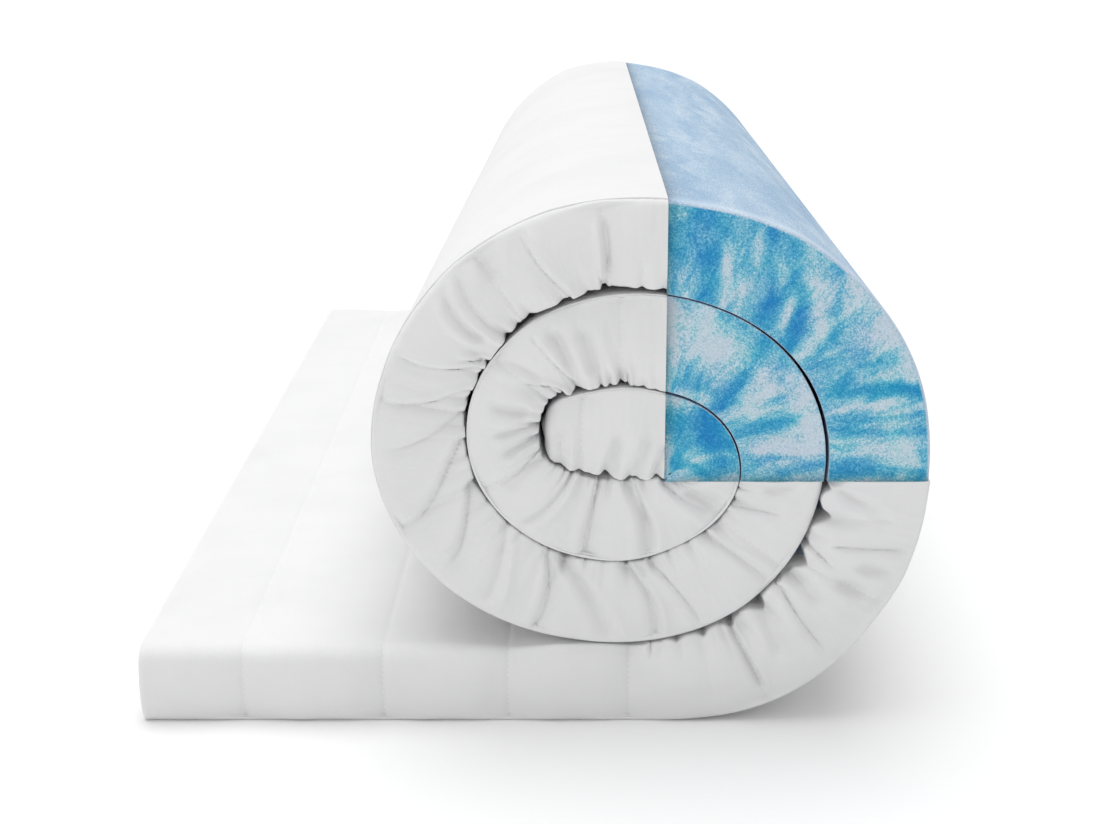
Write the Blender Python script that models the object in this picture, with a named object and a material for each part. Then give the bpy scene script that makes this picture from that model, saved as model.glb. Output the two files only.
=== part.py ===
"""Mattress topper: a foam slab in a sewn cover, partly rolled up, with a quarter cutaway of the cover.

The slab lies flat at its free end, then winds two and a half turns to the left. X runs along
the slab's flat run, Y across the bed and Z up. The cover is parted in four sleeves by the
quarter between 12 and 3 o'clock, where the foam is bare for the whole width.
"""

from collections import namedtuple

import bpy
import numpy as np

# Driving sizes, in metres
WIDTH = 0.990  # across the bed, over the border's puffs
FREE_END_X = -0.2621  # the flat run's free end
CUT_X = 0.0889  # the cutaway's upright plane
CUT_Z = 0.1710  # the cutaway's level plane
COVER_WALL = 0.0022  # quilted cloth, between two channels
CHANNEL_DEPTH = 0.0011  # how far a sewn channel is drawn in
CHANNEL_HALF_WIDTH = 0.008
BORDER_PUFF = 0.0030  # how far the side border stands out between channels
BORDER_PUFF_AT_CHANNEL = 0.0012
OUTER_CORNER = 0.0040  # at the slab's outer face
INNER_CORNER = 0.0045  # at its inner face, once it is wound
RUN_CORNER = 0.0090  # at the flat run's inner face, which is its top
WOUND_FROM = 0.200  # stations between which the run's corner gives way to the roll's
WOUND_TO = 0.270
CLEARANCE = 0.0003  # between the cover and the foam
BARE_INSET = 0.0004  # the bare foam swells to this far inside the cover's own outline
BARE_FACE_INSET = 0.0020  # the same at the front and back faces
BARE_CORNER = 0.0030
SLEEVED_TO = 0.0004  # past a cut's plane, the foam keeps its sleeved size to here
BARE_FROM = 0.0007  # and has its bare size from here
HELD_WITHIN = 0.030  # sections this near a cut keep all their points on their own side of it
HELD_SLOPE = 0.03  # and this much farther off for each metre from the cut
CHORD_SAG = 0.00030  # how far a facet may stray from the bend
LONGEST_STEP = 0.045
FREE_END_ROUND = 0.007
INNER_END_ROUND = 0.020
END_SHARES = (0.0, 0.04, 0.14, 0.32, 0.6, 1.0)  # rings along a rounded end, by its radius
END_LEAD = 0.006
CUT_LEAD = 0.014

# The far end of the roll is wound a little tighter than the near end, most so on its left shoulder.
FAR_SHRINK = 0.030
SHOULDER_SPAN = 0.190  # from the upright cut to the roll's left side
SHOULDER_PULL = 0.018
SHOULDER_DROP = 0.050
TAPER_FROM = 0.100  # stations along the run between which the tightening sets in
TAPER_TO = 0.260

# One row per bend: station along the mid-line, bend as one over the radius, full thickness.
Bend = namedtuple("Bend", "station_mm bend_per_m thick_mm")
BENDS = [
    Bend(0, 0.00, 54.5),
    Bend(338, 0.00, 54.5),
    Bend(400, 10.80, 57.0),
    Bend(515, 3.81, 66.5),
    Bend(630, 8.58, 67.5),
    Bend(745, 5.58, 60.4),
    Bend(860, 6.10, 58.3),
    Bend(975, 8.37, 56.2),
    Bend(1090, 9.29, 62.3),
    Bend(1205, 6.65, 56.8),
    Bend(1285, 9.06, 59.9),
    Bend(1365, 11.32, 52.0),
    Bend(1445, 13.35, 59.1),
    Bend(1525, 5.67, 61.1),
    Bend(1605, 16.17, 47.6),
    Bend(1685, 19.20, 47.7),
    Bend(1765, 6.06, 59.4),
    Bend(1795, 12.00, 44.6),
    Bend(1825, 44.80, 38.0),
    Bend(1855, 45.43, 41.9),
    Bend(1885, -1.95, 59.9),
    Bend(1915, -1.49, 62.5),
    Bend(1955, 0.03, 38.7),
]

# How far a face of the slab stands past its even thickness, by station.
Swell = namedtuple("Swell", "station_mm swell_mm")
OUTER_SWELL = [
    Swell(380, 0.0),
    Swell(440, 1.6),
    Swell(487, 2.8),
    Swell(516, 4.2),
    Swell(541, 3.0),
    Swell(565, 0.7),
    Swell(585, 0.0),
    Swell(605, -0.8),
    Swell(645, -0.8),
    Swell(670, -0.4),
    Swell(701, 0.5),
    Swell(735, 2.2),
    Swell(763, 1.2),
    Swell(790, 0.0),
    Swell(843, 0.6),
    Swell(869, 1.6),
    Swell(898, 0.8),
    Swell(929, 0.8),
    Swell(954, 0.2),
    Swell(1001, 0.0),
    Swell(1029, 0.8),
    Swell(1045, 1.4),
    Swell(1067, 0.8),
    Swell(1085, 0.0),
]
# The inner face's swell, with the foam squeezed out against the winding inside it.
INNER_SWELL = [
    Swell(280, 0.0),
    Swell(300, 1.0),
    Swell(334, 0.6),
    Swell(368, 4.4),
    Swell(402, 7.8),
    Swell(437, 7.8),
    Swell(471, 4.9),
    Swell(505, 1.4),
    Swell(539, 0.3),
    Swell(573, 0.0),
    Swell(715, 0.2),
    Swell(760, 0.6),
    Swell(805, -0.6),
    Swell(860, -1.2),
    Swell(905, -0.8),
    Swell(935, 0.2),
    Swell(955, 1.3),
    Swell(1021, 0.9),
    Swell(1093, 0.5),
    Swell(1164, 1.3),
    Swell(1236, 0.6),
    Swell(1308, 0.7),
    Swell(1380, 0.2),
    Swell(1446, 0.5),
    Swell(1512, 0.9),
    Swell(1552, 3.0),
    Swell(1591, 2.4),
    Swell(1620, 0.0),
    Swell(1690, 0.0),
    Swell(1720, 0.9),
    Swell(1760, 0.0),
    Swell(1780, 0.8),
    Swell(1805, 2.6),
    Swell(1820, 2.4),
    Swell(1828, 1.8),
    Swell(1836, 0.8),
    Swell(1850, 0.0),
    Swell(1864, 0.0),
    Swell(1876, 1.6),
    Swell(1892, 0.8),
    Swell(1910, 0.0),
]
EASE_STEPS = 7
EASE_PASSES = 2
GRID = 0.002  # spacing of the mid-line's own points

# Sewn channels: the first four stations, then one every pitch.
FIRST_CHANNELS = (0.070, 0.164, 0.248, 0.331)
CHANNEL_PITCH = 0.083
LAST_CHANNEL = 1.905

# One row per length of cover: its part of the slab. The odd parts are bare.
Sleeve = namedtuple("Sleeve", "name part")
SLEEVES = [
    Sleeve("cover_run", 0),
    Sleeve("cover_outer_turn", 2),
    Sleeve("cover_inner_turn", 4),
    Sleeve("cover_end", 6),
]
# The plane of each cut and the heading of the slab there, in degrees.
Cut = namedtuple("Cut", "plane heading")
CUTS = [
    Cut("level", 90),
    Cut("upright", 180),
    Cut("level", 450),
    Cut("upright", 540),
    Cut("level", 810),
    Cut("upright", 890),
]

COLOURS = {
    "foam_core": (0.36, 0.62, 0.80, 1.0),
    "cover_run": (0.86, 0.86, 0.87, 1.0),
    "cover_outer_turn": (0.86, 0.86, 0.87, 1.0),
    "cover_inner_turn": (0.86, 0.86, 0.87, 1.0),
    "cover_end": (0.86, 0.86, 0.87, 1.0),
}


def eased(column):
    """Run a column's corners smooth with a short moving mean."""
    for _ in range(EASE_PASSES):
        ends = np.concatenate(
            [
                np.full(EASE_STEPS, column[0]),
                column,
                np.full(EASE_STEPS, column[-1]),
            ]
        )
        count = 2 * EASE_STEPS + 1
        column = np.convolve(ends, np.full(count, 1 / count), "valid")
    return column


class Midline:
    """The slab's mid-line: place, heading and half thickness at any station."""

    def __init__(self):
        stations = np.array([row.station_mm for row in BENDS]) / 1000
        self.s = np.arange(0, stations[-1] + 1e-9, GRID)
        bend = eased(np.interp(self.s, stations, [row.bend_per_m for row in BENDS]))
        thick = eased(np.interp(self.s, stations, [row.thick_mm / 1000 for row in BENDS]))
        self.bend = bend
        self.half = thick / 2
        turn = np.cumsum((bend[1:] + bend[:-1]) / 2 * GRID)
        self.heading = np.concatenate([[0], turn])
        middle = (self.heading[1:] + self.heading[:-1]) / 2
        self.x = FREE_END_X + np.concatenate([[0], np.cumsum(np.cos(middle) * GRID)])
        self.z = self.half[0] + np.concatenate([[0], np.cumsum(np.sin(middle) * GRID)])
        self.length = self.s[-1]
        self.cuts = [self.crossing(cut) for cut in CUTS]

    def at(self, station, column):
        return float(np.interp(station, self.s, getattr(self, column)))

    def frame(self, station):
        """The mid-line's point, its direction and the outward direction."""
        place = np.array([self.at(station, "x"), self.at(station, "z")])
        heading = self.at(station, "heading")
        along = np.array([np.cos(heading), np.sin(heading)])
        outward = np.array([np.sin(heading), -np.cos(heading)])
        return place, along, outward

    def crossing(self, cut):
        """The station where the mid-line meets a cut's plane."""
        near = np.abs(np.degrees(self.heading) - cut.heading) < 50
        across = self.z - CUT_Z if cut.plane == "level" else self.x - CUT_X
        for i in np.flatnonzero(near[:-1] & near[1:]):
            if across[i] * across[i + 1] <= 0:
                share = across[i] / (across[i] - across[i + 1])
                return self.s[i] + share * GRID
        raise ValueError("the mid-line misses the cut at heading %s" % cut.heading)


def taper_weight(station):
    """0 on the flat run, 1 from the roll's foot on."""
    share = (station - TAPER_FROM) / (TAPER_TO - TAPER_FROM)
    share = min(max(share, 0.0), 1.0)
    return share * share * (3 - 2 * share)


def channel_stations():
    later = np.arange(FIRST_CHANNELS[-1] + CHANNEL_PITCH, LAST_CHANNEL, CHANNEL_PITCH)
    return list(FIRST_CHANNELS) + list(later)


def channel_weight(station):
    """1 on a channel's line, 0 from its half width on."""
    near = min(abs(station - line) for line in channel_stations())
    return max(0.0, 1 - near / CHANNEL_HALF_WIDTH)


def end_share(distance, radius):
    """How full a rounded end is at a distance from its tip."""
    if distance >= radius:
        return 1.0
    share = 1 - distance / radius
    return float(np.sqrt(max(0.0, 1 - share * share)))


def swell(rows, station):
    """How far a face stands past the even thickness at a station, by a table of swells."""
    places = [row.station_mm / 1000 for row in rows]
    return float(np.interp(station, places, [row.swell_mm / 1000 for row in rows]))


def inner_corner(station):
    """The radius at the slab's inner face: large on the run, small on the roll."""
    share = (station - WOUND_FROM) / (WOUND_TO - WOUND_FROM)
    share = min(max(share, 0.0), 1.0)
    return RUN_CORNER + (INNER_CORNER - RUN_CORNER) * share


def quarter(level, face, corner):
    """Points (distance from the mid-line, depth) round one corner, from the wide face to the border."""
    corner = min(corner, level * 0.9)
    turns = np.radians([90, 45, 0])
    return [
        (level - corner + corner * np.sin(a), face + corner - corner * np.cos(a))
        for a in turns
    ]


def section(upper, lower, face, corners, puff):
    """Points (outward, depth) round one section, from the near outer corner round the near border."""
    near = quarter(upper, face, corners[0])
    near.append((0.0, face))
    near += [(-n, y) for n, y in quarter(lower, face, corners[1])[::-1]]
    bulge = [1 - (n / (upper if n > 0 else lower)) ** 2 for n, y in near]
    near = [(n, y - puff * share) for (n, y), share in zip(near, bulge)]
    far = [(n, WIDTH - y) for n, y in near[::-1]]
    return near + [(-lower, WIDTH / 2)] + far + [(upper, WIDTH / 2)]


def levels(station, half):
    """How far the outer and the inner face lie from the mid-line."""
    return half + swell(OUTER_SWELL, station), half + swell(INNER_SWELL, station)


def tightened(x, y, z, weight):
    """A point of the even roll moved to where the tighter far end has it."""
    share = weight * min(max(y / WIDTH, 0.0), 1.0)
    shoulder = min(max((CUT_X - x) / SHOULDER_SPAN, 0.0), 1.2) ** 2
    x += share * (SHOULDER_PULL * shoulder - FAR_SHRINK * (x - CUT_X))
    z -= share * z * (FAR_SHRINK + SHOULDER_DROP * shoulder)
    return x, y - WIDTH / 2, max(z, 0.0)


def held(midline, station, spot, along):
    """How far a point near a cut slides back along the slab to stay on its own side of the cut."""
    for crossing, cut in zip(midline.cuts, CUTS):
        away = station - crossing
        if not 1e-6 < abs(away) < HELD_WITHIN:
            continue
        axis = 1 if cut.plane == "level" else 0
        ahead = 1 if cut.plane == "level" else -1
        side = ahead * np.sign(away)
        limit = (CUT_Z if cut.plane == "level" else CUT_X) + side * (BARE_FROM + HELD_SLOPE * abs(away))
        if (spot[axis] - limit) * side < 0:
            return (limit - spot[axis]) / along[axis]
    return 0.0


def placed(midline, station, points, plane=None, beyond=0.0):
    """A section's points in space, slid along the slab onto a cut's plane where one is given."""
    place, along, outward = midline.frame(station)
    weight = taper_weight(station)
    rows = []
    for n, y in points:
        x, z = place + n * outward
        if plane == "level":
            slide = (CUT_Z + beyond - z) / along[1]
        elif plane == "upright":
            slide = (CUT_X + beyond - x) / along[0]
        else:
            slide = held(midline, station, (x, z), along)
        rows.append(tightened(x + slide * along[0], y, z + slide * along[1], weight))
    return rows


def steps_between(midline, first, last, fixed=()):
    """Stations from first to last: closer where the bend is tighter, with the fixed ones kept."""
    stops = [first] + sorted(f for f in fixed if first + 0.002 < f < last - 0.002) + [last]
    found = [first]
    for a, b in zip(stops[:-1], stops[1:]):
        bend = max(abs(midline.at(s, "bend")) for s in np.linspace(a, b, 5))
        step = min(LONGEST_STEP, np.sqrt(8 * CHORD_SAG / max(bend, 0.01)))
        count = max(1, int(np.ceil((b - a) / step)))
        found += list(np.linspace(a, b, count + 1)[1:])
    return found


def ring_stations(midline, bounds, part, tip=0.0, fixed=()):
    """Station and cut plane of each ring of one part of the slab. Its free end starts at tip."""
    first = bounds[part]
    last = bounds[part + 1]
    final = len(bounds) - 2
    if part == 0:
        head = [(tip + share * FREE_END_ROUND, None) for share in END_SHARES]
        start = FREE_END_ROUND + END_LEAD
    else:
        head = [(first, CUTS[part - 1].plane)]
        start = first + CUT_LEAD
    if part == final:
        tail = [(last - tip - share * INNER_END_ROUND, None) for share in END_SHARES[::-1]]
        stop = last - INNER_END_ROUND - END_LEAD
    else:
        tail = [(last, CUTS[part].plane)]
        stop = last - CUT_LEAD
    middle = steps_between(midline, start, stop, fixed)
    return head + [(station, None) for station in middle] + tail


def end_drop(midline, station, tip):
    """How far the outline is drawn in at a rounded free end that starts at tip."""
    near = station - tip
    if near < FREE_END_ROUND:
        return (1 - end_share(near, FREE_END_ROUND)) * FREE_END_ROUND
    near = midline.length - tip - station
    if near < INNER_END_ROUND:
        return (1 - end_share(near, INNER_END_ROUND)) * INNER_END_ROUND
    return 0.0


def new_object(name, verts, faces):
    """An object with its own material, its faces turned outward."""
    mesh = bpy.data.meshes.new(name)
    mesh.from_pydata(verts, [], faces)
    mesh.update()
    material = bpy.data.materials.new(name)
    material.use_nodes = True
    shader = material.node_tree.nodes["Principled BSDF"]
    shader.inputs["Base Color"].default_value = COLOURS[name]
    shader.inputs["Roughness"].default_value = 0.9
    mesh.materials.append(material)
    mesh.polygons.foreach_set("use_smooth", [True] * len(mesh.polygons))
    mesh.set_sharp_from_angle(angle=np.radians(40))
    obj = bpy.data.objects.new(name, mesh)
    bpy.context.scene.collection.objects.link(obj)
    return obj


def turned(triangles, flip):
    return [t[::-1] for t in triangles] if flip else triangles


def bridge(first, second, count, flip=False):
    """Triangles between two rings whose first vertices are given."""
    triangles = []
    for j in range(count):
        k = (j + 1) % count
        triangles.append((first + j, second + j, second + k))
        triangles.append((first + j, second + k, first + k))
    return turned(triangles, flip)


def ring_cap(first, count, flip=False):
    """A flat cap over a ring, in strips from its near border to its far border."""
    side = count // 2 - 1
    triangles = []
    for j in range(side - 1):
        near, near_next = first + j, first + j + 1
        far, far_next = first + count - 2 - j, first + count - 3 - j
        if j == side - 2:
            middle = first + side
            triangles.append((middle, near_next, near))
            triangles.append((middle, near, far))
            triangles.append((middle, far, far_next))
            continue
        if j == 0:
            middle = first + count - 1
            triangles.append((middle, far, far_next))
            triangles.append((middle, far_next, near_next))
            triangles.append((middle, near_next, near))
            continue
        triangles.append((near, far, far_next))
        triangles.append((near, far_next, near_next))
    return turned(triangles, flip)


def outer_ring(midline, station, plane):
    """The cover's outline: drawn in at a channel, puffed between two."""
    drawn = channel_weight(station)
    drop = end_drop(midline, station, 0.0)
    half = midline.at(station, "half") - CHANNEL_DEPTH * drawn - drop
    puff = BORDER_PUFF + (BORDER_PUFF_AT_CHANNEL - BORDER_PUFF) * drawn
    corners = (OUTER_CORNER, inner_corner(station))
    points = section(*levels(station, half), BORDER_PUFF + drop, corners, puff)
    return placed(midline, station, points, plane)


def inset_ring(midline, station, plane, wall, beyond=0.0):
    """The cover's outline moved in by a wall, with no puff."""
    drop = end_drop(midline, station, wall)
    half = midline.at(station, "half") - wall - drop
    corners = (OUTER_CORNER - wall, inner_corner(station) - wall)
    points = section(*levels(station, half), BORDER_PUFF + wall + drop, corners, 0)
    return placed(midline, station, points, plane, beyond)


def bare_ring(midline, station, plane):
    """The bare foam's outline, with sharper edges."""
    half = midline.at(station, "half") - BARE_INSET
    corners = (BARE_CORNER, BARE_CORNER)
    points = section(*levels(station, half), BARE_FACE_INSET, corners, 0)
    return placed(midline, station, points, plane, BARE_FROM)


def skin(verts, rings, flip):
    """Adds rings and returns the quads between them with the first and last rings' own starts."""
    count = len(rings[0])
    starts = []
    for ring in rings:
        starts.append(len(verts))
        verts += ring
    faces = []
    for a, b in zip(starts[:-1], starts[1:]):
        faces += bridge(a, b, count, flip)
    return faces, starts[0], starts[-1]


def cover_sleeve(midline, bounds, sleeve):
    """One length of cover: a tube with a wall, open at a cut and closed at its own end."""
    lines = channel_stations()
    fixed = lines + [c - CHANNEL_HALF_WIDTH for c in lines]
    fixed += [c + CHANNEL_HALF_WIDTH for c in lines]
    outside = ring_stations(midline, bounds, sleeve.part, 0.0, fixed)
    inside = ring_stations(midline, bounds, sleeve.part, COVER_WALL)
    outer = [outer_ring(midline, station, plane) for station, plane in outside]
    inner = [inset_ring(midline, station, plane, COVER_WALL) for station, plane in inside]
    count = len(outer[0])
    verts = []
    faces, out_first, out_last = skin(verts, outer, False)
    more, in_first, in_last = skin(verts, inner, True)
    faces += more
    if sleeve.part == 0:
        faces += ring_cap(out_first, count, flip=True)
        faces += ring_cap(in_first, count)
    else:
        faces += bridge(out_first, in_first, count, flip=True)
    if sleeve.part == len(bounds) - 2:
        faces += ring_cap(out_last, count)
        faces += ring_cap(in_last, count, flip=True)
    else:
        faces += bridge(out_last, in_last, count)
    return new_object(sleeve.name, verts, faces)


def foam_slab(midline, bounds):
    """The foam: one wound slab, a little fuller where the cover is cut away."""
    wall = COVER_WALL + CLEARANCE
    rings = []
    for part in range(len(bounds) - 1):
        for station, plane in ring_stations(midline, bounds, part, wall):
            if part % 2:
                rings.append(bare_ring(midline, station, plane))
            else:
                rings.append(inset_ring(midline, station, plane, wall, SLEEVED_TO))
    count = len(rings[0])
    verts = []
    faces, first, last = skin(verts, rings, False)
    faces += ring_cap(first, count, flip=True)
    faces += ring_cap(last, count)
    return new_object("foam_core", verts, faces)


def main():
    for obj in list(bpy.data.objects):
        bpy.data.objects.remove(obj, do_unlink=True)
    midline = Midline()
    bounds = [0.0] + midline.cuts + [midline.length]
    foam_slab(midline, bounds)
    for sleeve in SLEEVES:
        cover_sleeve(midline, bounds, sleeve)


main()
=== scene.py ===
"""Visual model of a mattress topper, partly rolled up, with a quarter cutaway of its cover.

The slab lies flat at its free end and winds two and a half turns to the left. X runs along the
flat run, Y across the bed and Z up, in metres. Every piece is laid out along the slab's mid-line:
a station is the distance from the free end, and a share runs from -1 at the slab's inner face
to +1 at its outer face. A section is a ring of points round the slab at one station. In it, n is
the distance outward from the mid-line and y the depth behind the near end.
"""

import logging
import math
from dataclasses import dataclass, field
from enum import Enum
from typing import Optional, Union

import bmesh
import bpy
import numpy as np
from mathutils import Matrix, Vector


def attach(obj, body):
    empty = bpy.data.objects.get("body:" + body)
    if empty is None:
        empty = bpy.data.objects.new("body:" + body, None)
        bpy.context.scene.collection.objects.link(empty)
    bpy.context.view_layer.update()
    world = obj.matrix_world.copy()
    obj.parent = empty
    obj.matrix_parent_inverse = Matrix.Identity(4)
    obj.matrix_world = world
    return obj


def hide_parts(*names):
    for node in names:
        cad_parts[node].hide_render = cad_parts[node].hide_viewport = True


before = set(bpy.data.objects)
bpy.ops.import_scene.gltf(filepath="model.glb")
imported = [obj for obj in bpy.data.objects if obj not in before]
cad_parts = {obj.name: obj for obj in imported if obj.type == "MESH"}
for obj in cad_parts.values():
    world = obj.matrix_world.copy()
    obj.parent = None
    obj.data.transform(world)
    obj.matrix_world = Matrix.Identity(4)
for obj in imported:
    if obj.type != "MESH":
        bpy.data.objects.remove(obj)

log = logging.getLogger("topper")

Array = np.ndarray
Pair = tuple[np.ndarray, np.ndarray]
Material = bpy.types.Material
Socket = bpy.types.NodeSocket

WIDTH = 0.990  # across the bed, over the border's puffs
CUT_X = 0.0889  # the cutaway's upright plane
CUT_Z = 0.1710  # the cutaway's level plane
MM = 1000.0  # millimetres in a metre
WHOLE_TURN = 2 * math.pi
FACE_NORMAL = 0.999  # past this a normal points straight out of a wide face
MERGED_WITHIN = 1e-6
FLAT_WITHIN = 1e-7
SHARP_DEGREES = 60
NOTCH_FALL = 1.6  # how square the notches are


class Plane(Enum):
    """The two planes of the cutaway: the axis that each crosses, 0 for x or 1 for z, and where."""

    UPRIGHT = (0, CUT_X)
    LEVEL = (1, CUT_Z)


class Fold(Enum):
    """How a crease lies in the border's cloth, with how much its shape is raised."""

    SHARP = 1.25
    PLEAT = 1.60
    SOFT = 2.10


class Tint(Enum):
    """Dyes of the marbled foam, with how much each adds to the blue."""

    DEEP = 1.0
    BLUE = 0.6
    PALE = -0.7


SHARP, PLEAT, SOFT = Fold
DEEP, BLUE, PALE = Tint


@dataclass(frozen=True)
class Cut:
    """A cut's plane and the slab's heading there, in degrees."""

    plane: Plane
    heading: float


@dataclass(frozen=True)
class Crease:
    """One crease of the border: its stations at share -1, 0 and +1, its reach, depth and width."""

    inner_mm: float
    middle_mm: float
    outer_mm: float
    start: float
    stop: float
    depth_mm: float
    width_mm: float
    fold: Fold


@dataclass(frozen=True)
class Streak:
    """One streak of dye on the foam's end face, from one station and share to another."""

    tint: Tint
    station_mm: float
    share: float
    to_station_mm: float
    to_share: float
    width_mm: float


# The slab's bending: station in mm, one over the radius in 1/m, full thickness in mm.
BENDS = (
    (0, 0.00, 54.5), (338, 0.00, 54.5), (400, 10.80, 57.0), (515, 3.81, 66.5), (630, 8.58, 67.5),
    (745, 5.58, 60.4), (860, 6.10, 58.3), (975, 8.37, 56.2), (1090, 9.29, 62.3),
    (1205, 6.65, 56.8), (1285, 9.06, 59.9), (1365, 11.32, 52.0), (1445, 13.35, 59.1),
    (1525, 5.67, 61.1), (1605, 16.17, 47.6), (1685, 19.20, 47.7), (1765, 6.06, 59.4),
    (1795, 12.00, 44.6), (1825, 44.80, 38.0), (1855, 45.43, 41.9), (1885, -1.95, 59.9),
    (1915, -1.49, 62.5), (1955, 0.03, 38.7),
)

CUTS = (
    Cut(Plane.LEVEL, 90),
    Cut(Plane.UPRIGHT, 180),
    Cut(Plane.LEVEL, 450),
    Cut(Plane.UPRIGHT, 540),
    Cut(Plane.LEVEL, 810),
    Cut(Plane.UPRIGHT, 890),
)

# Stations of the sewn channels that cross the cover, in mm.
CHANNELS_MM = (
    *(70, 164, 248, 329, 413, 498),
    *(843, 917, 1012, 1082, 1180, 1250, 1330),
    *(1541, 1612, 1679, 1740, 1814, 1930),
)

CREASE_ROWS = (
    # the run and the foot of the roll
    (344, 345, 345, -1.2, -0.65, 3.0, 2.4, SHARP), (412, 413, 413, -1.2, 0.75, 3.2, 2.6, PLEAT),
    (471, 459, 456, -1.2, 0.80, 3.4, 2.6, SHARP), (513, 503, 500, -1.2, -0.15, 3.0, 2.4, SHARP),
    (500, 497, 504, -0.20, 0.70, 2.4, 4.6, SOFT), (536, 545, 552, -1.0, 0.55, 2.6, 5.0, PLEAT),
    (486, 478, 474, -1.1, 0.10, 2.2, 5.5, SOFT), (446, 436, 432, -1.1, 0.30, 2.2, 6.0, SOFT),
    (513, 524, 533, -0.60, 1.05, 3.2, 2.6, SHARP), (516, 514, 521, 0.00, 0.95, 1.6, 4.0, SOFT),
    (567, 554, 561, -0.85, 0.40, 1.8, 4.0, SOFT),
    # the outermost turn, down its left side and along its foot
    (848, 843, 844, -1.2, 0.75, 3.4, 2.6, PLEAT), (850, 853, 853, -1.0, -0.35, 4.0, 2.2, SHARP),
    (875, 887, 889, -1.2, 0.95, 3.2, 2.4, SHARP), (920, 917, 911, 0.05, 1.00, 2.0, 5.0, SOFT),
    (936, 938, 928, -1.1, 0.90, 2.8, 3.2, PLEAT), (944, 950, 938, -0.80, 0.85, 2.6, 3.2, PLEAT),
    (962, 978, 978, -1.1, -0.35, 4.0, 2.0, SHARP), (970, 985, 985, -1.1, 0.95, 2.6, 2.0, SHARP),
    (992, 1011, 1013, -1.1, 1.00, 2.4, 2.3, SHARP),
    (1013, 1036, 1039, -1.0, 0.80, 2.2, 2.4, SHARP),
    (1036, 1078, 1084, -1.1, 1.05, 3.4, 3.7, SHARP),
    (1076, 1113, 1112, -1.1, 0.65, 3.0, 3.5, SHARP),
    (1127, 1145, 1147, -1.1, 0.85, 2.6, 4.4, PLEAT),
    (1170, 1181, 1179, -1.2, 1.10, 3.6, 2.4, SHARP),
    (1186, 1213, 1224, -1.1, 0.95, 2.2, 5.4, SOFT),
    (1236, 1251, 1248, -1.1, 1.10, 3.0, 3.0, PLEAT),
    (1256, 1271, 1276, -1.1, 0.95, 2.8, 2.6, SHARP),
    (1312, 1318, 1320, -1.1, 1.05, 2.6, 2.8, PLEAT),
    (1348, 1356, 1357, -1.1, 0.30, 2.8, 2.4, SHARP),
    (1368, 1373, 1381, -0.50, 0.60, 1.3, 4.0, SOFT),
    # the second turn
    (1524, 1524, 1524, -1.2, -0.75, 3.2, 2.0, SHARP),
    (1536, 1543, 1543, -1.2, -0.55, 3.6, 2.0, SHARP),
    (1562, 1563, 1566, -0.90, 0.55, 2.2, 4.6, SOFT),
    (1580, 1579, 1583, -1.0, 0.75, 2.6, 4.4, SOFT),
    (1583, 1589, 1592, -1.2, 0.90, 3.0, 2.3, SHARP),
    (1600, 1605, 1612, -0.55, 0.90, 2.2, 3.6, PLEAT),
    (1597, 1614, 1616, -1.0, 0.15, 4.0, 2.3, SHARP),
    (1627, 1634, 1631, -0.70, 0.60, 2.2, 4.0, SOFT),
    (1641, 1650, 1652, -1.1, 0.35, 2.6, 2.8, PLEAT),
    (1654, 1664, 1666, -1.1, 0.20, 2.6, 2.8, PLEAT),
    (1671, 1680, 1677, -1.2, 0.55, 3.2, 2.2, SHARP),
    (1715, 1711, 1700, -1.2, 0.90, 3.0, 3.0, PLEAT),
    (1742, 1740, 1740, -1.2, 1.10, 3.2, 2.4, SHARP),
    (1765, 1775, 1774, -1.1, 1.10, 2.8, 3.6, SOFT),
    (1772, 1777, 1780, -1.1, 0.40, 3.0, 2.4, SHARP),
    (1804, 1814, 1817, -0.55, 0.90, 2.0, 4.0, SOFT),
    (1796, 1807, 1813, -1.0, 0.75, 3.4, 2.4, SHARP),
    # the innermost strip
    (1883, 1874, 1870, -1.1, -0.10, 2.4, 3.0, PLEAT),
    (1899, 1885, 1883, -1.1, 0.15, 2.6, 3.6, PLEAT),
    (1914, 1905, 1903, -1.1, 0.15, 2.2, 3.6, SOFT), (1944, 1941, 1940, -1.1, 0.30, 1.8, 3.0, SOFT),
)
CREASES = tuple(Crease(*row) for row in CREASE_ROWS)

# The gathers of the border's inner edge: station, depth and pitch in mm.
GATHERS = (
    (0, 0.0, 22), (320, 0.0, 22), (350, 1.6, 21), (420, 2.0, 22), (480, 3.4, 26), (575, 3.2, 27),
    (800, 1.8, 20), (900, 2.0, 20), (1000, 1.8, 20), (1100, 1.8, 19), (1250, 2.1, 20),
    (1380, 2.2, 17), (1512, 2.2, 11), (1570, 2.0, 11), (1700, 1.8, 13), (1830, 1.4, 12),
    (1876, 1.6, 12), (1954, 1.0, 11),
)

# How far the slab's outer face stands past its even thickness: station and swell in mm.
OUTER_SWELL = (
    (380, 0.0), (440, 1.6), (487, 2.8), (516, 4.2), (541, 3.0), (565, 0.7), (585, 0.0),
    (605, -0.8), (645, -0.8), (670, -0.4), (701, 0.5), (735, 2.2), (763, 1.2), (790, 0.0),
    (843, 0.6), (869, 1.6), (898, 0.8), (929, 0.8), (954, 0.2), (1001, 0.0), (1029, 0.8),
    (1045, 1.4), (1067, 0.8), (1085, 0.0),
)

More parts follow.
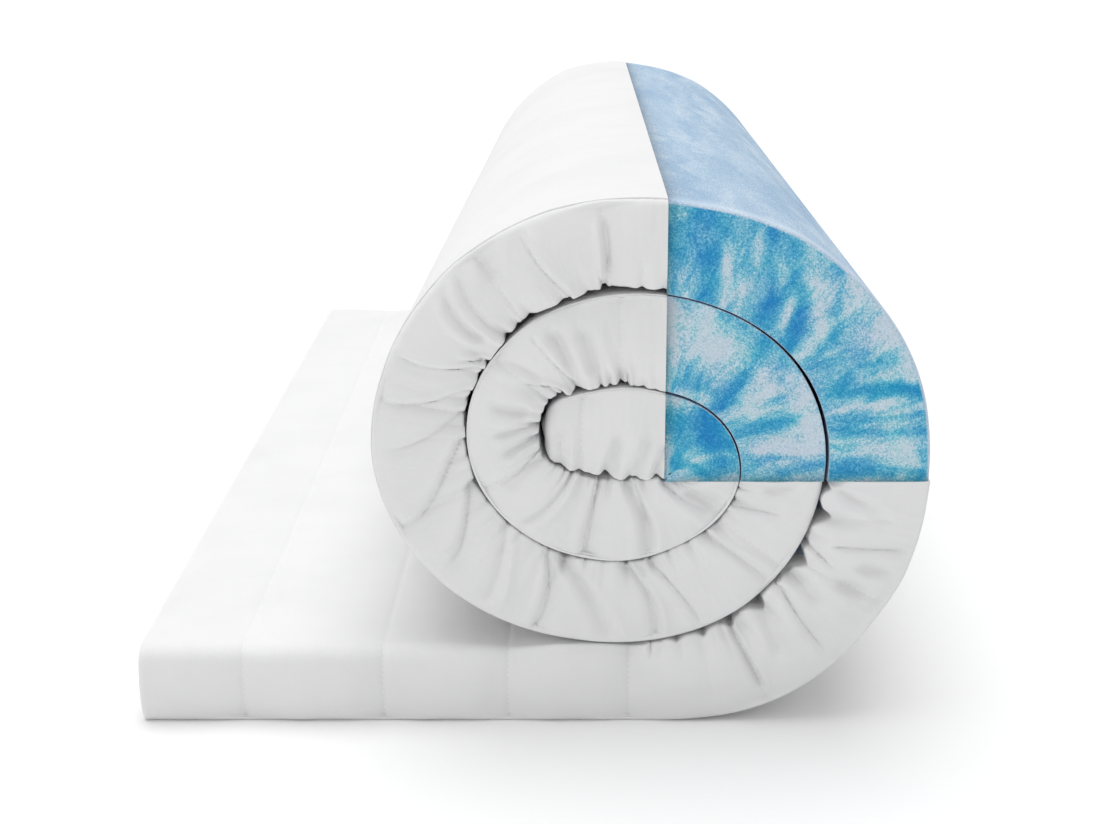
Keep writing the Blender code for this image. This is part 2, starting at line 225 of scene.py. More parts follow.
# The same for the cover's inner face, toward the winding inside it and at the innermost fold.
COVER_SWELL = (
    (255, 0.0), (280, 1.5), (300, 2.0), (334, 1.5), (368, 5.5), (402, 8.8), (437, 8.8), (471, 5.9),
    (505, 2.4), (539, 1.3), (573, 1.6), (805, -0.3), (860, -0.9), (905, 0.1), (935, 1.6),
    (955, 2.7), (985, 2.6), (1021, 2.3), (1093, 1.9), (1164, 2.7), (1236, 2.0), (1308, 2.1),
    (1380, 1.5), (1512, 2.6), (1552, 4.5), (1591, 3.9), (1620, 0.0), (1690, 0.0), (1720, 1.9),
    (1740, 1.3), (1760, 0.4), (1780, 1.5), (1805, 3.6), (1828, 8.0), (1876, 4.6), (1892, 2.7),
    (1910, 1.6), (1922, 2.0), (1935, 3.4), (1946, 4.7),
)

# The same for the inner face of the bare foam.
FOAM_SWELL = (
    (573, 0.0), (640, 0.6), (715, 1.0), (760, 1.4), (805, 1.3), (1380, 0.8), (1446, 1.2),
    (1512, 1.5), (1828, 8.0), (1834, 7.9), (1842, 7.4), (1850, 6.2), (1858, 4.2), (1866, 3.0),
    (1872, 3.4), (1876, 4.6),
)

# Where the inner edge draws back between the large gathers at the foot of the roll: station,
# depth and width in mm.
NOTCHES = (
    (363, 3.0, 3.5), (386, 3.5, 4.0), (414, 5.0, 5.5), (446, 7.0, 7.0), (476, 2.5, 5.0),
    (498, 8.0, 8.0), (512, 3.5, 4.0), (538, 8.0, 7.0), (563, 5.0, 5.5),
)

STREAK_ROWS = (
    # the outermost turn
    (DEEP, 775, 0.05, 776, -0.87, 10), (BLUE, 800, 0.30, 782, -0.20, 14),
    (DEEP, 737, -0.01, 725, -0.89, 16), (BLUE, 733, 0.95, 723, 0.17, 10),
    (DEEP, 713, 0.09, 696, -0.91, 9), (BLUE, 707, 0.98, 679, -0.17, 5),
    (BLUE, 660, 0.12, 669, -0.85, 6), (BLUE, 647, 0.61, 646, -0.01, 6),
    (DEEP, 625, 0.90, 640, -0.54, 8), (BLUE, 613, 0.86, 615, -0.30, 3),
    (BLUE, 603, 0.83, 608, -0.72, 5), (BLUE, 596, 0.81, 574, 0.82, 5),
    (DEEP, 578, -0.88, 577, 0.27, 6), (BLUE, 803, 0.86, 798, -0.90, 7),
    (BLUE, 789, 0.82, 773, 0.52, 12), (BLUE, 755, 0.88, 754, 0.01, 9),
    (BLUE, 795, 0.17, 788, -0.77, 7), (BLUE, 725, -0.17, 720, -0.79, 8),
    (PALE, 770, 0.28, 766, -0.27, 5), (PALE, 754, 0.58, 749, 0.09, 5),
    (PALE, 733, 0.26, 726, -0.19, 6), (PALE, 725, 0.93, 694, -0.19, 10),
    (PALE, 689, 0.80, 656, 0.75, 20), (PALE, 750, -0.44, 757, -0.91, 6),
    (PALE, 626, -0.32, 623, 0.13, 5), (PALE, 594, -0.34, 594, 0.44, 9),
    (PALE, 717, -0.22, 707, -0.84, 4), (PALE, 694, -0.05, 688, -0.25, 5),
    (PALE, 633, 0.75, 650, 0.98, 8), (PALE, 626, -0.64, 623, 0.53, 4),
    (BLUE, 643, -0.81, 647, -0.29, 5), (BLUE, 802, 0.10, 786, 0.80, 10),
    (BLUE, 748, 0.95, 742, 0.30, 7),
    # the second turn
    (PALE, 1508, 0.45, 1468, 0.31, 22), (PALE, 1498, -0.10, 1482, 0.20, 13),
    (PALE, 1412, 0.60, 1402, -0.60, 8), (PALE, 1440, 0.20, 1434, -0.40, 7),
    (DEEP, 1462, 0.94, 1454, -0.83, 8), (BLUE, 1451, 0.98, 1443, 0.53, 9),
    (BLUE, 1422, -0.91, 1418, 0.31, 10), (PALE, 1433, 0.78, 1406, 0.77, 15),
    (PALE, 1451, 0.27, 1447, -0.27, 9), (DEEP, 1385, -0.03, 1390, 1.00, 6),
    (BLUE, 1509, 0.58, 1497, -0.33, 4), (BLUE, 1503, -0.83, 1464, -0.67, 5),
    (PALE, 1511, 0.81, 1506, -0.39, 5), (PALE, 1402, -0.50, 1398, 0.69, 6),
    (BLUE, 1439, -0.24, 1431, 0.33, 5), (BLUE, 1492, -0.55, 1476, -0.56, 8),
    # the innermost turn
    (DEEP, 1851, 0.70, 1864, -0.60, 6), (BLUE, 1870, 0.20, 1836, 0.40, 12),
    (DEEP, 1855, 1.00, 1864, -0.19, 8), (DEEP, 1850, -0.90, 1829, -0.05, 6),
    (BLUE, 1847, 0.13, 1845, 0.98, 6), (BLUE, 1875, 0.97, 1858, -0.90, 5),
    (PALE, 1866, 1.00, 1867, 0.70, 4), (PALE, 1873, 0.56, 1871, 0.91, 3),
    (PALE, 1846, -0.41, 1841, 0.73, 3), (BLUE, 1874, 0.55, 1862, 0.88, 8),
    (DEEP, 1868, -0.72, 1846, -0.80, 7),
)
STREAKS = tuple(Streak(*row) for row in STREAK_ROWS)


def linked(name: str, data: bpy.types.ID) -> bpy.types.Object:
    """A new object, linked to the scene.

    Args:
        name: The object's name.
        data: Its mesh, light or camera.

    Returns:
        The object.
    """
    obj = bpy.data.objects.new(name, data)
    bpy.context.scene.collection.objects.link(obj)
    return obj


def smooth(share: Array) -> Array:
    """A share run from 0 to 1 with no corners."""
    share = np.clip(share, 0.0, 1.0)
    return share * share * (3 - 2 * share)


def bell(away: Array, power: float = 2.0) -> Array:
    """1 at no distance, falling away on both sides."""
    return np.exp(-(np.abs(away) ** power))


def columns(table: tuple) -> Array:
    """A table's columns, from millimetres to metres."""
    return np.array(table, float).T / MM


def swell(table: tuple, stations: Array) -> Array:
    """How far a face stands past the even thickness, by a table of swells."""
    return np.interp(stations, *columns(table))


def notched(stations: Array) -> Array:
    """How far the inner face draws back at the notches."""
    place, depth, width = columns(NOTCHES)
    return (depth * bell((stations[:, None] - place) / width, NOTCH_FALL)).max(1)


@dataclass
class Slab:
    """The wound slab's mid-line, thickness, cuts and the tighter winding of its far end."""

    free_end_x: float = -0.2621
    grid: float = 0.002
    ease_steps: int = 7
    ease_passes: int = 2
    far_shrink: float = 0.030
    shoulder_span: float = 0.190
    shoulder_limit: float = 1.2  # in spans
    shoulder_pull: float = 0.018
    shoulder_drop: float = 0.050
    taper_from: float = 0.100
    taper_to: float = 0.260
    heading_within: float = 50.0  # degrees that the heading may be off a cut's own
    slide_fade: float = 0.016  # how far from a cut its slant has died out
    held_within: float = 0.030  # sections this near a cut keep their points on their own side
    held_gap: float = 0.0001
    held_slope: float = 0.03
    on_cut: float = 1e-6  # a section this near a cut lies on it
    s: Array = field(init=False)
    half: Array = field(init=False)
    heading: Array = field(init=False)
    x: Array = field(init=False)
    z: Array = field(init=False)
    stops: list = field(init=False)

    def __post_init__(self) -> None:
        """Add up the bends into a mid-line and find where it meets the cuts."""
        stations, bends, thick = np.array(BENDS).T
        stations = stations / MM
        self.s = np.arange(0, stations[-1] + self.on_cut, self.grid)
        bend = self.eased(np.interp(self.s, stations, bends))
        self.half = self.eased(np.interp(self.s, stations, thick / MM)) / 2
        turn = np.cumsum((bend[1:] + bend[:-1]) / 2 * self.grid)
        self.heading = np.concatenate([[0], turn])
        middle = (self.heading[1:] + self.heading[:-1]) / 2
        steps_x, steps_z = np.cumsum(np.stack([np.cos(middle), np.sin(middle)]) * self.grid, 1)
        self.x = self.free_end_x + np.concatenate([[0], steps_x])
        self.z = self.half[0] + np.concatenate([[0], steps_z])
        self.stops = [0.0] + [self.crossing(cut) for cut in CUTS] + [float(self.s[-1])]

    def eased(self, column: Array) -> Array:
        """Run a column's corners smooth.

        Args:
            column: One value for each station of the grid.

        Returns:
            The column after a few passes of a short moving mean.
        """
        count = 2 * self.ease_steps + 1
        for _ in range(self.ease_passes):
            ends = np.pad(column, self.ease_steps, "edge")
            column = np.convolve(ends, np.full(count, 1 / count), "valid")
        return column

    def crossing(self, cut: Cut) -> float:
        """The station where the mid-line meets a cut.

        Args:
            cut: The cut's plane and heading.

        Returns:
            The station in metres.
        """
        near = np.abs(np.degrees(self.heading) - cut.heading) < self.heading_within
        axis, level = cut.plane.value
        across = (self.x, self.z)[axis] - level
        for i in np.flatnonzero(near[:-1] & near[1:]):
            if across[i] * across[i + 1] <= 0:
                share = across[i] / (across[i] - across[i + 1])
                return float(self.s[i] + share * self.grid)
        raise ValueError(f"the mid-line misses the cut at heading {cut.heading}")

    def half_at(self, stations: Array) -> Array:
        """Half the slab's thickness at some stations."""
        return np.interp(stations, self.s, self.half)

    def from_cuts(self, stations: Array) -> Array:
        """How far stations are from the nearest cut."""
        return np.abs(stations[..., None] - np.array(self.stops[1:-1])).min(-1)

    def frames(self, stations: Array) -> tuple[Array, Array, Array]:
        """Places and directions along the mid-line.

        Args:
            stations: Distances from the free end.

        Returns:
            The mid-line's points, its direction and the outward direction, as (x, z) rows.
        """
        kept = (self.heading, self.x, self.z)
        heading, x, z = (np.interp(stations, self.s, column) for column in kept)
        along = np.stack([np.cos(heading), np.sin(heading)], -1)
        outward = np.stack([np.sin(heading), -np.cos(heading)], -1)
        return np.stack([x, z], -1), along, outward

    def tightened(self, x: Array, y: Array, z: Array, station: Array) -> Array:
        """Points of the even roll moved to where the tighter far end has them.

        Args:
            x: Along the run.
            y: From 0 at the near end to the width at the far end.
            z: Height.
            station: Each point's station.

        Returns:
            The points as rows of x, y and z, with y from the middle of the bed.
        """
        weight = smooth((station - self.taper_from) / (self.taper_to - self.taper_from))
        share = weight * np.clip(y / WIDTH, 0.0, 1.0)
        shoulder = np.clip((CUT_X - x) / self.shoulder_span, 0.0, self.shoulder_limit) ** 2
        x = x + share * (self.shoulder_pull * shoulder - self.far_shrink * (x - CUT_X))
        z = z - share * z * (self.far_shrink + self.shoulder_drop * shoulder)
        return np.stack([x, y - WIDTH / 2, np.maximum(z, 0.0)], -1)

    def held(self, stations: Array, flat: Array, along: Array) -> Array:
        """How far points near a cut slide back to stay on their own side of it.

        Args:
            stations: One for each section.
            flat: Points as x and z, sections by points.
            along: The slab's direction at each section.

        Returns:
            The distance along the slab, sections by points.
        """
        slide = np.zeros(flat.shape[:2])
        for cut, stop in zip(CUTS, self.stops[1:-1]):
            away = stations - stop
            close = (np.abs(away) > self.on_cut) & (np.abs(away) < self.held_within)
            axis, level = cut.plane.value
            side = np.sign(away)[:, None] * (1 if axis else -1)
            limit = level + side * (self.held_gap + self.held_slope * np.abs(away))[:, None]
            crossed = close[:, None] & ((flat[..., axis] - limit) * side < 0)
            back = (limit - flat[..., axis])[crossed]
            slide[crossed] = back / np.broadcast_to(along[:, axis, None], crossed.shape)[crossed]
        return slide

    def placed(
        self,
        stations: Array,
        n: Array,
        y: Array,
        planes: tuple[Optional[Plane], Optional[Plane]] = (None, None),
        beyond: float = 0.0,
        push: float = 0.0,
    ) -> Array:
        """Sections set in space, the first and last slid onto their cuts' planes.

        Args:
            stations: One for each section.
            n: Distance outward from the mid-line, sections by points.
            y: Depth from the near end, sections by points.
            planes: The planes of the first and the last section, where they lie on a cut.
            beyond: How far past the planes these two sections lie.
            push: Distance along the slab by which every point is moved.

        Returns:
            Points by sections, as x, y and z.
        """
        place, along, outward = self.frames(stations)
        flat = place[:, None, :] + n[..., None] * outward[:, None, :]
        for plane, row in zip(planes, (0, -1)):
            if plane is None:
                continue
            axis, level = plane.value
            reach = level + beyond - place[row, axis] - n * outward[row, axis]
            fade = smooth(1 - np.abs(stations - stations[row]) / self.slide_fade)
            slide = reach / along[row, axis] * fade[:, None]
            flat = flat + slide[..., None] * along[:, None, :]
        slide = self.held(stations, flat, along) + push
        flat = flat + slide[..., None] * along[:, None, :]
        station = np.broadcast_to(stations[:, None], y.shape)
        return self.tightened(flat[..., 0], y, flat[..., 1], station)


@dataclass
class Outline:
    """Points round one section of the slab, kept as shares so that each section can size them."""

    outer_turns: tuple = (90, 84, 78, 66, 50, 34, 17, 0)  # degrees round the outer corner
    inner_turns: tuple = (0, 18, 36, 54, 72, 90)
    border_steps: int = 26
    half_marks: tuple = (  # points along half of a wide face, in metres from its edge
        *(0.003, 0.006, 0.010, 0.016, 0.026, 0.040),
        *(0.062, 0.095, 0.14, 0.20, 0.28, 0.38),
    )
    corner_limit: float = 0.9  # of half the thickness
    rows: Array = field(init=False)
    far: Array = field(init=False)
    edges: tuple = field(init=False)  # each border's inner corner, its points from border to face

    def __post_init__(self) -> None:
        """Lay out the points: near border, inner face, far border and outer face.

        Each row holds the share of the flat half, the corner's share outward, the corner's share
        in depth, the share along the wide face, and the normal outward and toward the near end.
        """
        border = np.linspace(1, -1, self.border_steps + 2)[1:-1]
        marks = np.array(self.half_marks)
        wide = np.concatenate([marks, [WIDTH / 2], WIDTH - marks[::-1]]) / WIDTH
        outer = [self.turn(a, 1) for a in self.outer_turns]
        level = [(t, 0, 0, 0, 0, 1) for t in border]
        near = outer + level + [self.turn(a, -1) for a in self.inner_turns]
        under = [(-1, -1, 1, u, -1, 0) for u in wide]
        over = [(1, 1, 1, 1 - u, 1, 0) for u in wide]
        self.rows = np.array(near + under + near[::-1] + over, float)
        self.far = np.zeros(len(self.rows), bool)
        first = len(near) + len(under)
        self.far[first : first + len(near)] = True
        corner = np.arange(len(outer) + len(level), len(near))
        self.edges = (corner, first + len(near) - 1 - corner)

    @staticmethod
    def turn(degrees: float, side: int) -> tuple:
        """One point of a rounded corner, by its angle from the border and its side of the slab."""
        a = math.radians(degrees)
        return (side, side * math.sin(a), 1 - math.cos(a), 0, side * math.sin(a), math.cos(a))

    def sized(self, half: Array, face: Array, corners: Pair, swells: Pair) -> Pair:
        """The section's points at its own sizes.

        Args:
            half: Half the thickness, one for each section.
            face: The border's depth behind the near end, one for each section.
            corners: The radius at the outer and at the inner face, one for each section.
            swells: How far the outer and the inner face stand past the half thickness.

        Returns:
            Distance outward and depth, sections by points.
        """
        half, face = half[:, None], face[:, None]
        level, turn, sink, run = self.rows[:, :4].T
        upper, lower = (np.minimum(c[:, None], half * self.corner_limit) for c in corners)
        top = half - upper + swells[0][:, None]
        foot = half + swells[1][:, None] - lower
        radius = np.where(level > 0, upper, lower)
        round_part = np.where(level > 0, top, -foot) + turn * radius
        flat_part = (top - foot) / 2 + level * (top + foot) / 2
        at = face + sink * radius
        y = at + run * (WIDTH - 2 * at)
        return np.where(turn != 0, round_part, flat_part), np.where(self.far, WIDTH - y, y)

    def normals(self) -> Pair:
        """The outline's normals: outward, and in depth with the far border's turned round."""
        return self.rows[:, 4], np.where(self.far, self.rows[:, 5], -self.rows[:, 5])


@dataclass
class BorderRelief:
    """The cloth's relief: puffs, sewn channels, creases and gathers, as depth along the normal."""

    puff: float = 0.0045
    fullness: float = 2.2  # how square the puff is across the border
    channel_depth: float = 0.0015
    channel_face_depth: float = 0.0009
    channel_width: float = 0.0022
    channel_fade: float = 0.12  # share over which a channel ends at the outer edge
    quilt_depth: float = 0.0028
    quilt_face: float = 0.35  # the quilting's depth on the face, as a share of the border's
    quilt_width: float = 0.018
    tuck: float = 0.0004
    tuck_share: float = -0.45  # the tuck begins here
    tuck_over: float = 0.55
    soft_ridge: tuple = (0.30, 2.1)  # how high the cloth stands beside a fold, and widths off
    pleat_ridge: tuple = (0.60, 1.8)
    lap_ridge: tuple = (0.12, 0.9, 3)  # with how tight it is
    pleat_trough: tuple = (0.80, 1.2)  # its depth, and how square it is
    lap: tuple = (1.05, 2.6)  # a sharp fold's overlap: its depth, and its width in widths
    nick: tuple = (0.85, 1.8)  # and its nick: its depth, and how fast it dies out
    crease_span: float = 0.030  # a crease is felt this far along the slab
    crease_stop: float = 0.40  # share over which it dies out outward
    crease_start: float = 0.30
    gather_fade: float = 1.5
    gather_fall: float = 1.4
    gather_spread: float = 0.5  # how fast a gather widens across the border
    gather_ridge: tuple = (0.35, 2.4, 1.3)  # height, and widths off and wide
    gather_least: float = 0.0002
    notch_width: tuple = (0.10, 0.20)  # ranges of a notch's width, reach, lean, depth and spacing
    notch_reach: tuple = (0.22, 0.75)
    notch_lean: tuple = (-0.006, 0.006)
    notch_depth: tuple = (0.45, 1.25)
    notch_pitch: tuple = (0.55, 1.45)
    unevenness: float = 0.0019
    wave_count: int = 8
    wave_length: tuple = (0.028, 0.110)
    wave_slant: tuple = (-60, 60)
    wrinkle: float = 0.00030
    wrinkle_waves: tuple = ((1, 610, 0.0), (-1, 917, 1.3), (1, 1310, 0.4))
    wrinkle_lean: tuple = (0.0035, 0.002, 2.1, 40)  # steady and swaying, across and along
    wrinkle_patch: tuple = (47, 1.7, 23, 0.8)
    wrap: float = 0.008  # how far a crease runs on round the inner edge
    wrap_free: float = 0.006  # the face's first stretch, where it is still at its full depth
    border_fade: float = 0.012
    bent_from: float = 0.34  # the station where the slab begins to bend
    bent_over: float = 0.06
    stand_most: float = 0.004  # how far the border's cloth may stand up
    quiet_outer: float = 0.25  # how uneven the outer face is, and the inner one
    quiet_inner: float = 0.45
    far_shift: float = 0.019  # the far border's creases stand this far along
    seed: int = 7
    waves: list = field(init=False)
    notches: list = field(init=False)

    def __post_init__(self) -> None:
        """Draw the long waves that keep the cloth uneven, and the notches between gathers."""
        draw = np.random.default_rng(self.seed).uniform
        self.waves = [
            (WHOLE_TURN / draw(*self.wave_length), draw(*self.wave_slant), draw(0, WHOLE_TURN))
            for _ in range(self.wave_count)
        ]
        self.notches = [self.drawn_notches(self.seed + side) for side in (1, 2)]

    def drawn_notches(self, seed: int) -> Array:
        """Place the notches of one border's gathers.

        Args:
            seed: The border's own seed.

        Returns:
            Rows of station, depth, width, reach and lean.
        """
        draw = np.random.default_rng(seed).uniform
        stations, depths, pitches = columns(GATHERS)
        rows = []
        station = 0.0
        while station < stations[-1]:
            pitch = np.interp(station, stations, pitches)
            deep = np.interp(station, stations, depths)
            width = pitch * draw(*self.notch_width)
            reach, lean = draw(*self.notch_reach), draw(*self.notch_lean)
            if deep > self.gather_least:
                rows.append((station, deep * draw(*self.notch_depth), width, reach, lean))
            station += pitch * draw(*self.notch_pitch)
        return np.array(rows)

    def fold_shape(self, across: Array, row: Crease) -> Array:
        """A crease's depth as a share, below 0 where the cloth stands up beside it.

        Args:
            across: Distance from the crease's line.
            row: The crease.

        Returns:
            The share.
        """
        a = across / (row.width_mm / MM)
        if row.fold is Fold.SOFT:
            height, at = self.soft_ridge
            return row.fold.value * (bell(a) - height * bell(np.abs(a) - at))
        if row.fold is Fold.PLEAT:
            (depth, power), (height, at) = self.pleat_trough, self.pleat_ridge
            return row.fold.value * (depth * bell(a, power) - height * bell(a - at))
        (depth, width), (height, at, tight), (nick, fall) = self.lap, self.lap_ridge, self.nick
        b = a / width
        lapped = depth * b * bell(b) - height * np.exp(-((np.abs(b) - at) ** 2) * tight)
        return row.fold.value * (nick * np.exp(-np.abs(a) * fall) + lapped)

    def creased(self, s: Array, share: Array) -> Array:
        """Depth of the listed creases.

        Args:
            s: Stations.
            share: Shares across the border.

        Returns:
            The depth at stations by shares.
        """
        depth = np.zeros(np.broadcast(s, share).shape)
        low, high = s.min() - self.crease_span, s.max() + self.crease_span
        for row in CREASES:
            inner, middle, outer = row.inner_mm / MM, row.middle_mm / MM, row.outer_mm / MM
            if low > max(inner, outer) or high < min(inner, outer):
                continue
            line = middle + (outer - inner) / 2 * share + ((outer + inner) / 2 - middle) * share**2
            reach = smooth((row.stop - share) / self.crease_stop)
            if row.start > -1.0:
                reach = reach * smooth((share - row.start) / self.crease_start)
            depth += row.depth_mm / MM * reach * self.fold_shape(s - line, row)
        return depth

    def gathered(self, s: Array, share: Array, side: int) -> Array:
        """Depth of the gathers at the inner edge.

        Args:
            s: Stations.
            share: Shares across the border.
            side: 0 for the near border, 1 for the far one.

        Returns:
            The depth at stations by shares.
        """
        depth = np.zeros(np.broadcast(s, share).shape)
        low, high = s.min() - self.crease_span, s.max() + self.crease_span
        height, at, wide = self.gather_ridge
        up = share + 1
        for station, deep, width, reach, lean in self.notches[side]:
            if not low < station < high:
                continue
            a = (s - station - lean * up) / (width * (1 + self.gather_spread * up))
            inner = np.clip(1 - up / (2 * reach), 0, 1) ** self.gather_fade
            ridge = height * bell((np.abs(a) - at) / wide)
            depth += deep * inner * (bell(a, self.gather_fall) - ridge)
        return depth

    def channelled(self, s: Array, on_border: Array) -> Array:
        """Depth of the sewn channels, deeper on the border.

        Args:
            s: Stations, sections by points.
            on_border: 1 on the border, falling to 0 along the wide faces.

        Returns:
            The depth, sections by points.
        """
        near = np.abs(s[..., None] - columns(CHANNELS_MM)).min(-1)
        sewn = self.channel_face_depth + (self.channel_depth - self.channel_face_depth) * on_border
        quilt = self.quilt_depth * (self.quilt_face + (1 - self.quilt_face) * on_border)
        return sewn * np.exp(-near / self.channel_width) + quilt * bell(near / self.quilt_width)

    def uneven(self, s: Array, y: Array, n: Array) -> Array:
        """Long waves over the whole cover.

        Args:
            s: Stations.
            y: Depth.
            n: Distance outward.

        Returns:
            A value between 0 and 1 for each point.
        """
        total = np.zeros(np.broadcast(s, y).shape)
        for along, across, phase in self.waves:
            total += np.sin(s * along + (y + n) * across + phase)
        return 0.5 + total / (2 * len(self.waves))

    def wrinkled(self, s: Array, share: Array) -> Array:
        """Fine drawn wrinkles across the border, stronger in some places.

        Args:
            s: Stations.
            share: Shares across the border.

        Returns:
            A value between -1 and 1 for each point.
        """
        steady, sway, across, along = self.wrinkle_lean
        lean = steady * share + sway * np.sin(share * across + s * along)
        fine = sum(np.sin((s + way * lean) * wave + at) for way, wave, at in self.wrinkle_waves)
        along, across, slow, at = self.wrinkle_patch
        patch = 0.5 + 0.5 * np.sin(s * along + share * across) * np.sin(s * slow + at)
        return fine / len(self.wrinkle_waves) * patch

    def depth(self, outline: Outline, s: Array, half: Array, n: Array, y: Array) -> Array:
        """The whole relief at a sleeve's points.

        Args:
            outline: The section's layout.
            s: Stations, one for each section.
            half: Half thickness, one for each section.
            n: Distance outward, sections by points.
            y: Depth, sections by points.

        Returns:
            How far each point is moved inward along the outline's normal.
        """
        s = s[:, None]
        share = np.clip(n / half[:, None], -1, 1)
        out, deep = outline.normals()
        face, outer_face = np.abs(out) > FACE_NORMAL, out > FACE_NORMAL
        on_face = np.where(face, np.maximum(np.minimum(y, WIDTH - y) - self.wrap_free, 0), 0)
        wrap = np.exp(-on_face / self.wrap) * np.where(outer_face, 0.0, 1.0)
        on_border = np.where(face, np.exp(-on_face / self.border_fade), 1.0)
        bent = smooth((s - self.bent_from) / self.bent_over)
        near = y < WIDTH / 2
        shifted = np.where(near, s, s + self.far_shift * bent)
        relief = self.creased(shifted, share)
        relief += np.where(near, self.gathered(s, share, 0), self.gathered(s, share, 1))
        relief += self.tuck * bent * smooth((self.tuck_share - share) / self.tuck_over)
        relief += self.wrinkle * bent * self.wrinkled(shifted, share)
        relief = np.maximum(relief * wrap, -self.stand_most * deep**2)
        sewn = self.channelled(np.broadcast_to(s, n.shape), on_border)
        relief += sewn * np.where(outer_face, 0.0, smooth((1.0 - share) / self.channel_fade))
        inner_quiet = self.quiet_inner + (1 - self.quiet_inner) * on_border
        quiet = np.where(outer_face, self.quiet_outer, inner_quiet)
        return relief + self.unevenness * self.uneven(s, y, n) * quiet


@dataclass
class Bench:
    """A node tree, with a short way to add to it."""

    tree: bpy.types.NodeTree

    def fill(self, node: bpy.types.Node, inputs: dict) -> None:
        """Link or set a node's inputs.

        Args:
            node: The node.
            inputs: Sockets or values, by the input's name or number.
        """
        for key, value in inputs.items():
            if isinstance(value, Socket):
                self.tree.links.new(value, node.inputs[key])
            else:
                node.inputs[key].default_value = value

    def add(
        self, kind: str, inputs: dict, output: Union[str, int] = 0, **settings: object
    ) -> Socket:
        """Add a node.

        Args:
            kind: The node's type.
            inputs: Sockets or values, by the input's name or number.
            output: The output to hand back, by name or number.
            **settings: The node's properties.

        Returns:
            The output's socket.
        """
        node = self.tree.nodes.new(kind)
        for key, value in settings.items():
            setattr(node, key, value)
        self.fill(node, inputs)
        return node.outputs[output]


class Mixer(Bench):
    """A new material, with short ways to mix its colours and values."""

    def __init__(self, name: str) -> None:
        """Start a material.

        Args:
            name: The material's name.
        """
        self.material = bpy.data.materials.new(name)
        self.material.use_nodes = True
        super().__init__(self.material.node_tree)

    def maths(self, operation: str, *values: object) -> Socket:
        """The result of a sum, product or other operation on sockets or numbers."""
        return self.add("ShaderNodeMath", dict(enumerate(values)), operation=operation)

    def attribute(self, name: str) -> Socket:
        """An attribute of the piece's own mesh."""
        return self.add("ShaderNodeAttribute", {}, "Vector", attribute_name=name)

    def split(self, vector: Socket) -> list[Socket]:
        """A vector's three parts."""
        return list(self.add("ShaderNodeSeparateXYZ", {0: vector}).node.outputs)

    def noise(
        self, place: Socket, scale: float, detail: float, rough: float = 0.5, warp: float = 0.0
    ) -> Socket:
        """A noise's value over some coordinates.

        Args:
            place: The coordinates.
            scale: How fine its largest patches are.
            detail: How many finer layers it has.
            rough: How strong these are.
            warp: How far it is bent.

        Returns:
            The value's socket.
        """
        inputs = {"Vector": place, "Scale": scale, "Detail": detail}
        inputs.update({"Roughness": rough, "Distortion": warp})
        return self.add("ShaderNodeTexNoise", inputs, "Fac")

    def ramp(self, source: Socket, stops: tuple) -> Socket:
        """A colour ramp over a socket.

        Args:
            source: The value's socket.
            stops: Pairs of a position and a colour.

        Returns:
            The colour's socket.
        """
        socket = self.add("ShaderNodeValToRGB", {0: source})
        elements = socket.node.color_ramp.elements
        while len(elements) < len(stops):
            elements.new(0.5)
        for element, (position, colour) in zip(elements, stops):
            element.position = position
            element.color = (*colour, 1.0)
        return socket

    def mixed(self, share: Socket, first: Socket, second: object) -> Socket:
        """Two colours mixed by a share, 0 for the first and 1 for the second."""
        return self.add("ShaderNodeMix", {0: share, 6: first, 7: second}, 2, data_type="RGBA")

    def bump(self, height: Socket, strength: float, distance: float) -> Socket:
        """Normals raised by a height."""
        inputs = {"Height": height, "Strength": strength, "Distance": distance}
        return self.add("ShaderNodeBump", inputs, "Normal")

    def dressed(self, inputs: dict) -> Material:
        """Set the shader's inputs, and hand the material back."""
        self.fill(self.tree.nodes["Principled BSDF"], inputs)
        return self.material


@dataclass(frozen=True)
class ClothFinish:
    """White knitted cover cloth: fine ribs, a soft sheen and a breath of grey in broad soft
    patches.
    """

    name: str = "white knit"
    light: tuple = (0.770, 0.770, 0.773)
    shade: tuple = (0.735, 0.736, 0.741)
    light_at: float = 0.56
    shade_at: float = 0.30
    rib_pitch: float = 0.0011
    course_pitch: float = 0.0014
    bump_strength: float = 0.55
    bump_height: float = 0.00010
    fluff: tuple = (900.0, 2.0, 0.6)  # scale, detail and roughness
    cloud: tuple = (14.0, 4.0, 0.55)
    cloud_share: float = 0.75  # of the tone, the rest is fluff
    rough_drift: float = 0.12
    rough_least: float = 0.80

    def material(self) -> Material:
        """Build the material from the piece's own slab coordinates.

        Returns:
            The material.
        """
        mixer = Mixer(self.name)
        place = mixer.attribute("slab")
        along, around, _ = mixer.split(place)
        rib = mixer.maths("SINE", mixer.maths("MULTIPLY", around, WHOLE_TURN / self.rib_pitch))
        course = mixer.maths("SINE", mixer.maths("MULTIPLY", along, WHOLE_TURN / self.course_pitch))
        fluff = mixer.noise(place, *self.fluff)
        cloud = mixer.noise(place, *self.cloud)
        height = mixer.maths("ADD", mixer.maths("MULTIPLY", rib, course), fluff)
        fluff_part = mixer.maths("MULTIPLY", fluff, 1 - self.cloud_share)
        tone = mixer.maths("ADD", mixer.maths("MULTIPLY", cloud, self.cloud_share), fluff_part)
        tones = ((self.shade_at, self.shade), (self.light_at, self.light))
        return mixer.dressed(
            {
                "Normal": mixer.bump(height, self.bump_strength, self.bump_height),
                "Base Color": mixer.ramp(tone, tones),
                "Roughness": mixer.maths("MULTIPLY_ADD", cloud, self.rough_drift, self.rough_least),
                "Sheen Weight": 0.12,
                "Sheen Roughness": 0.6,
                "Specular IOR Level": 0.25,
            }
        )


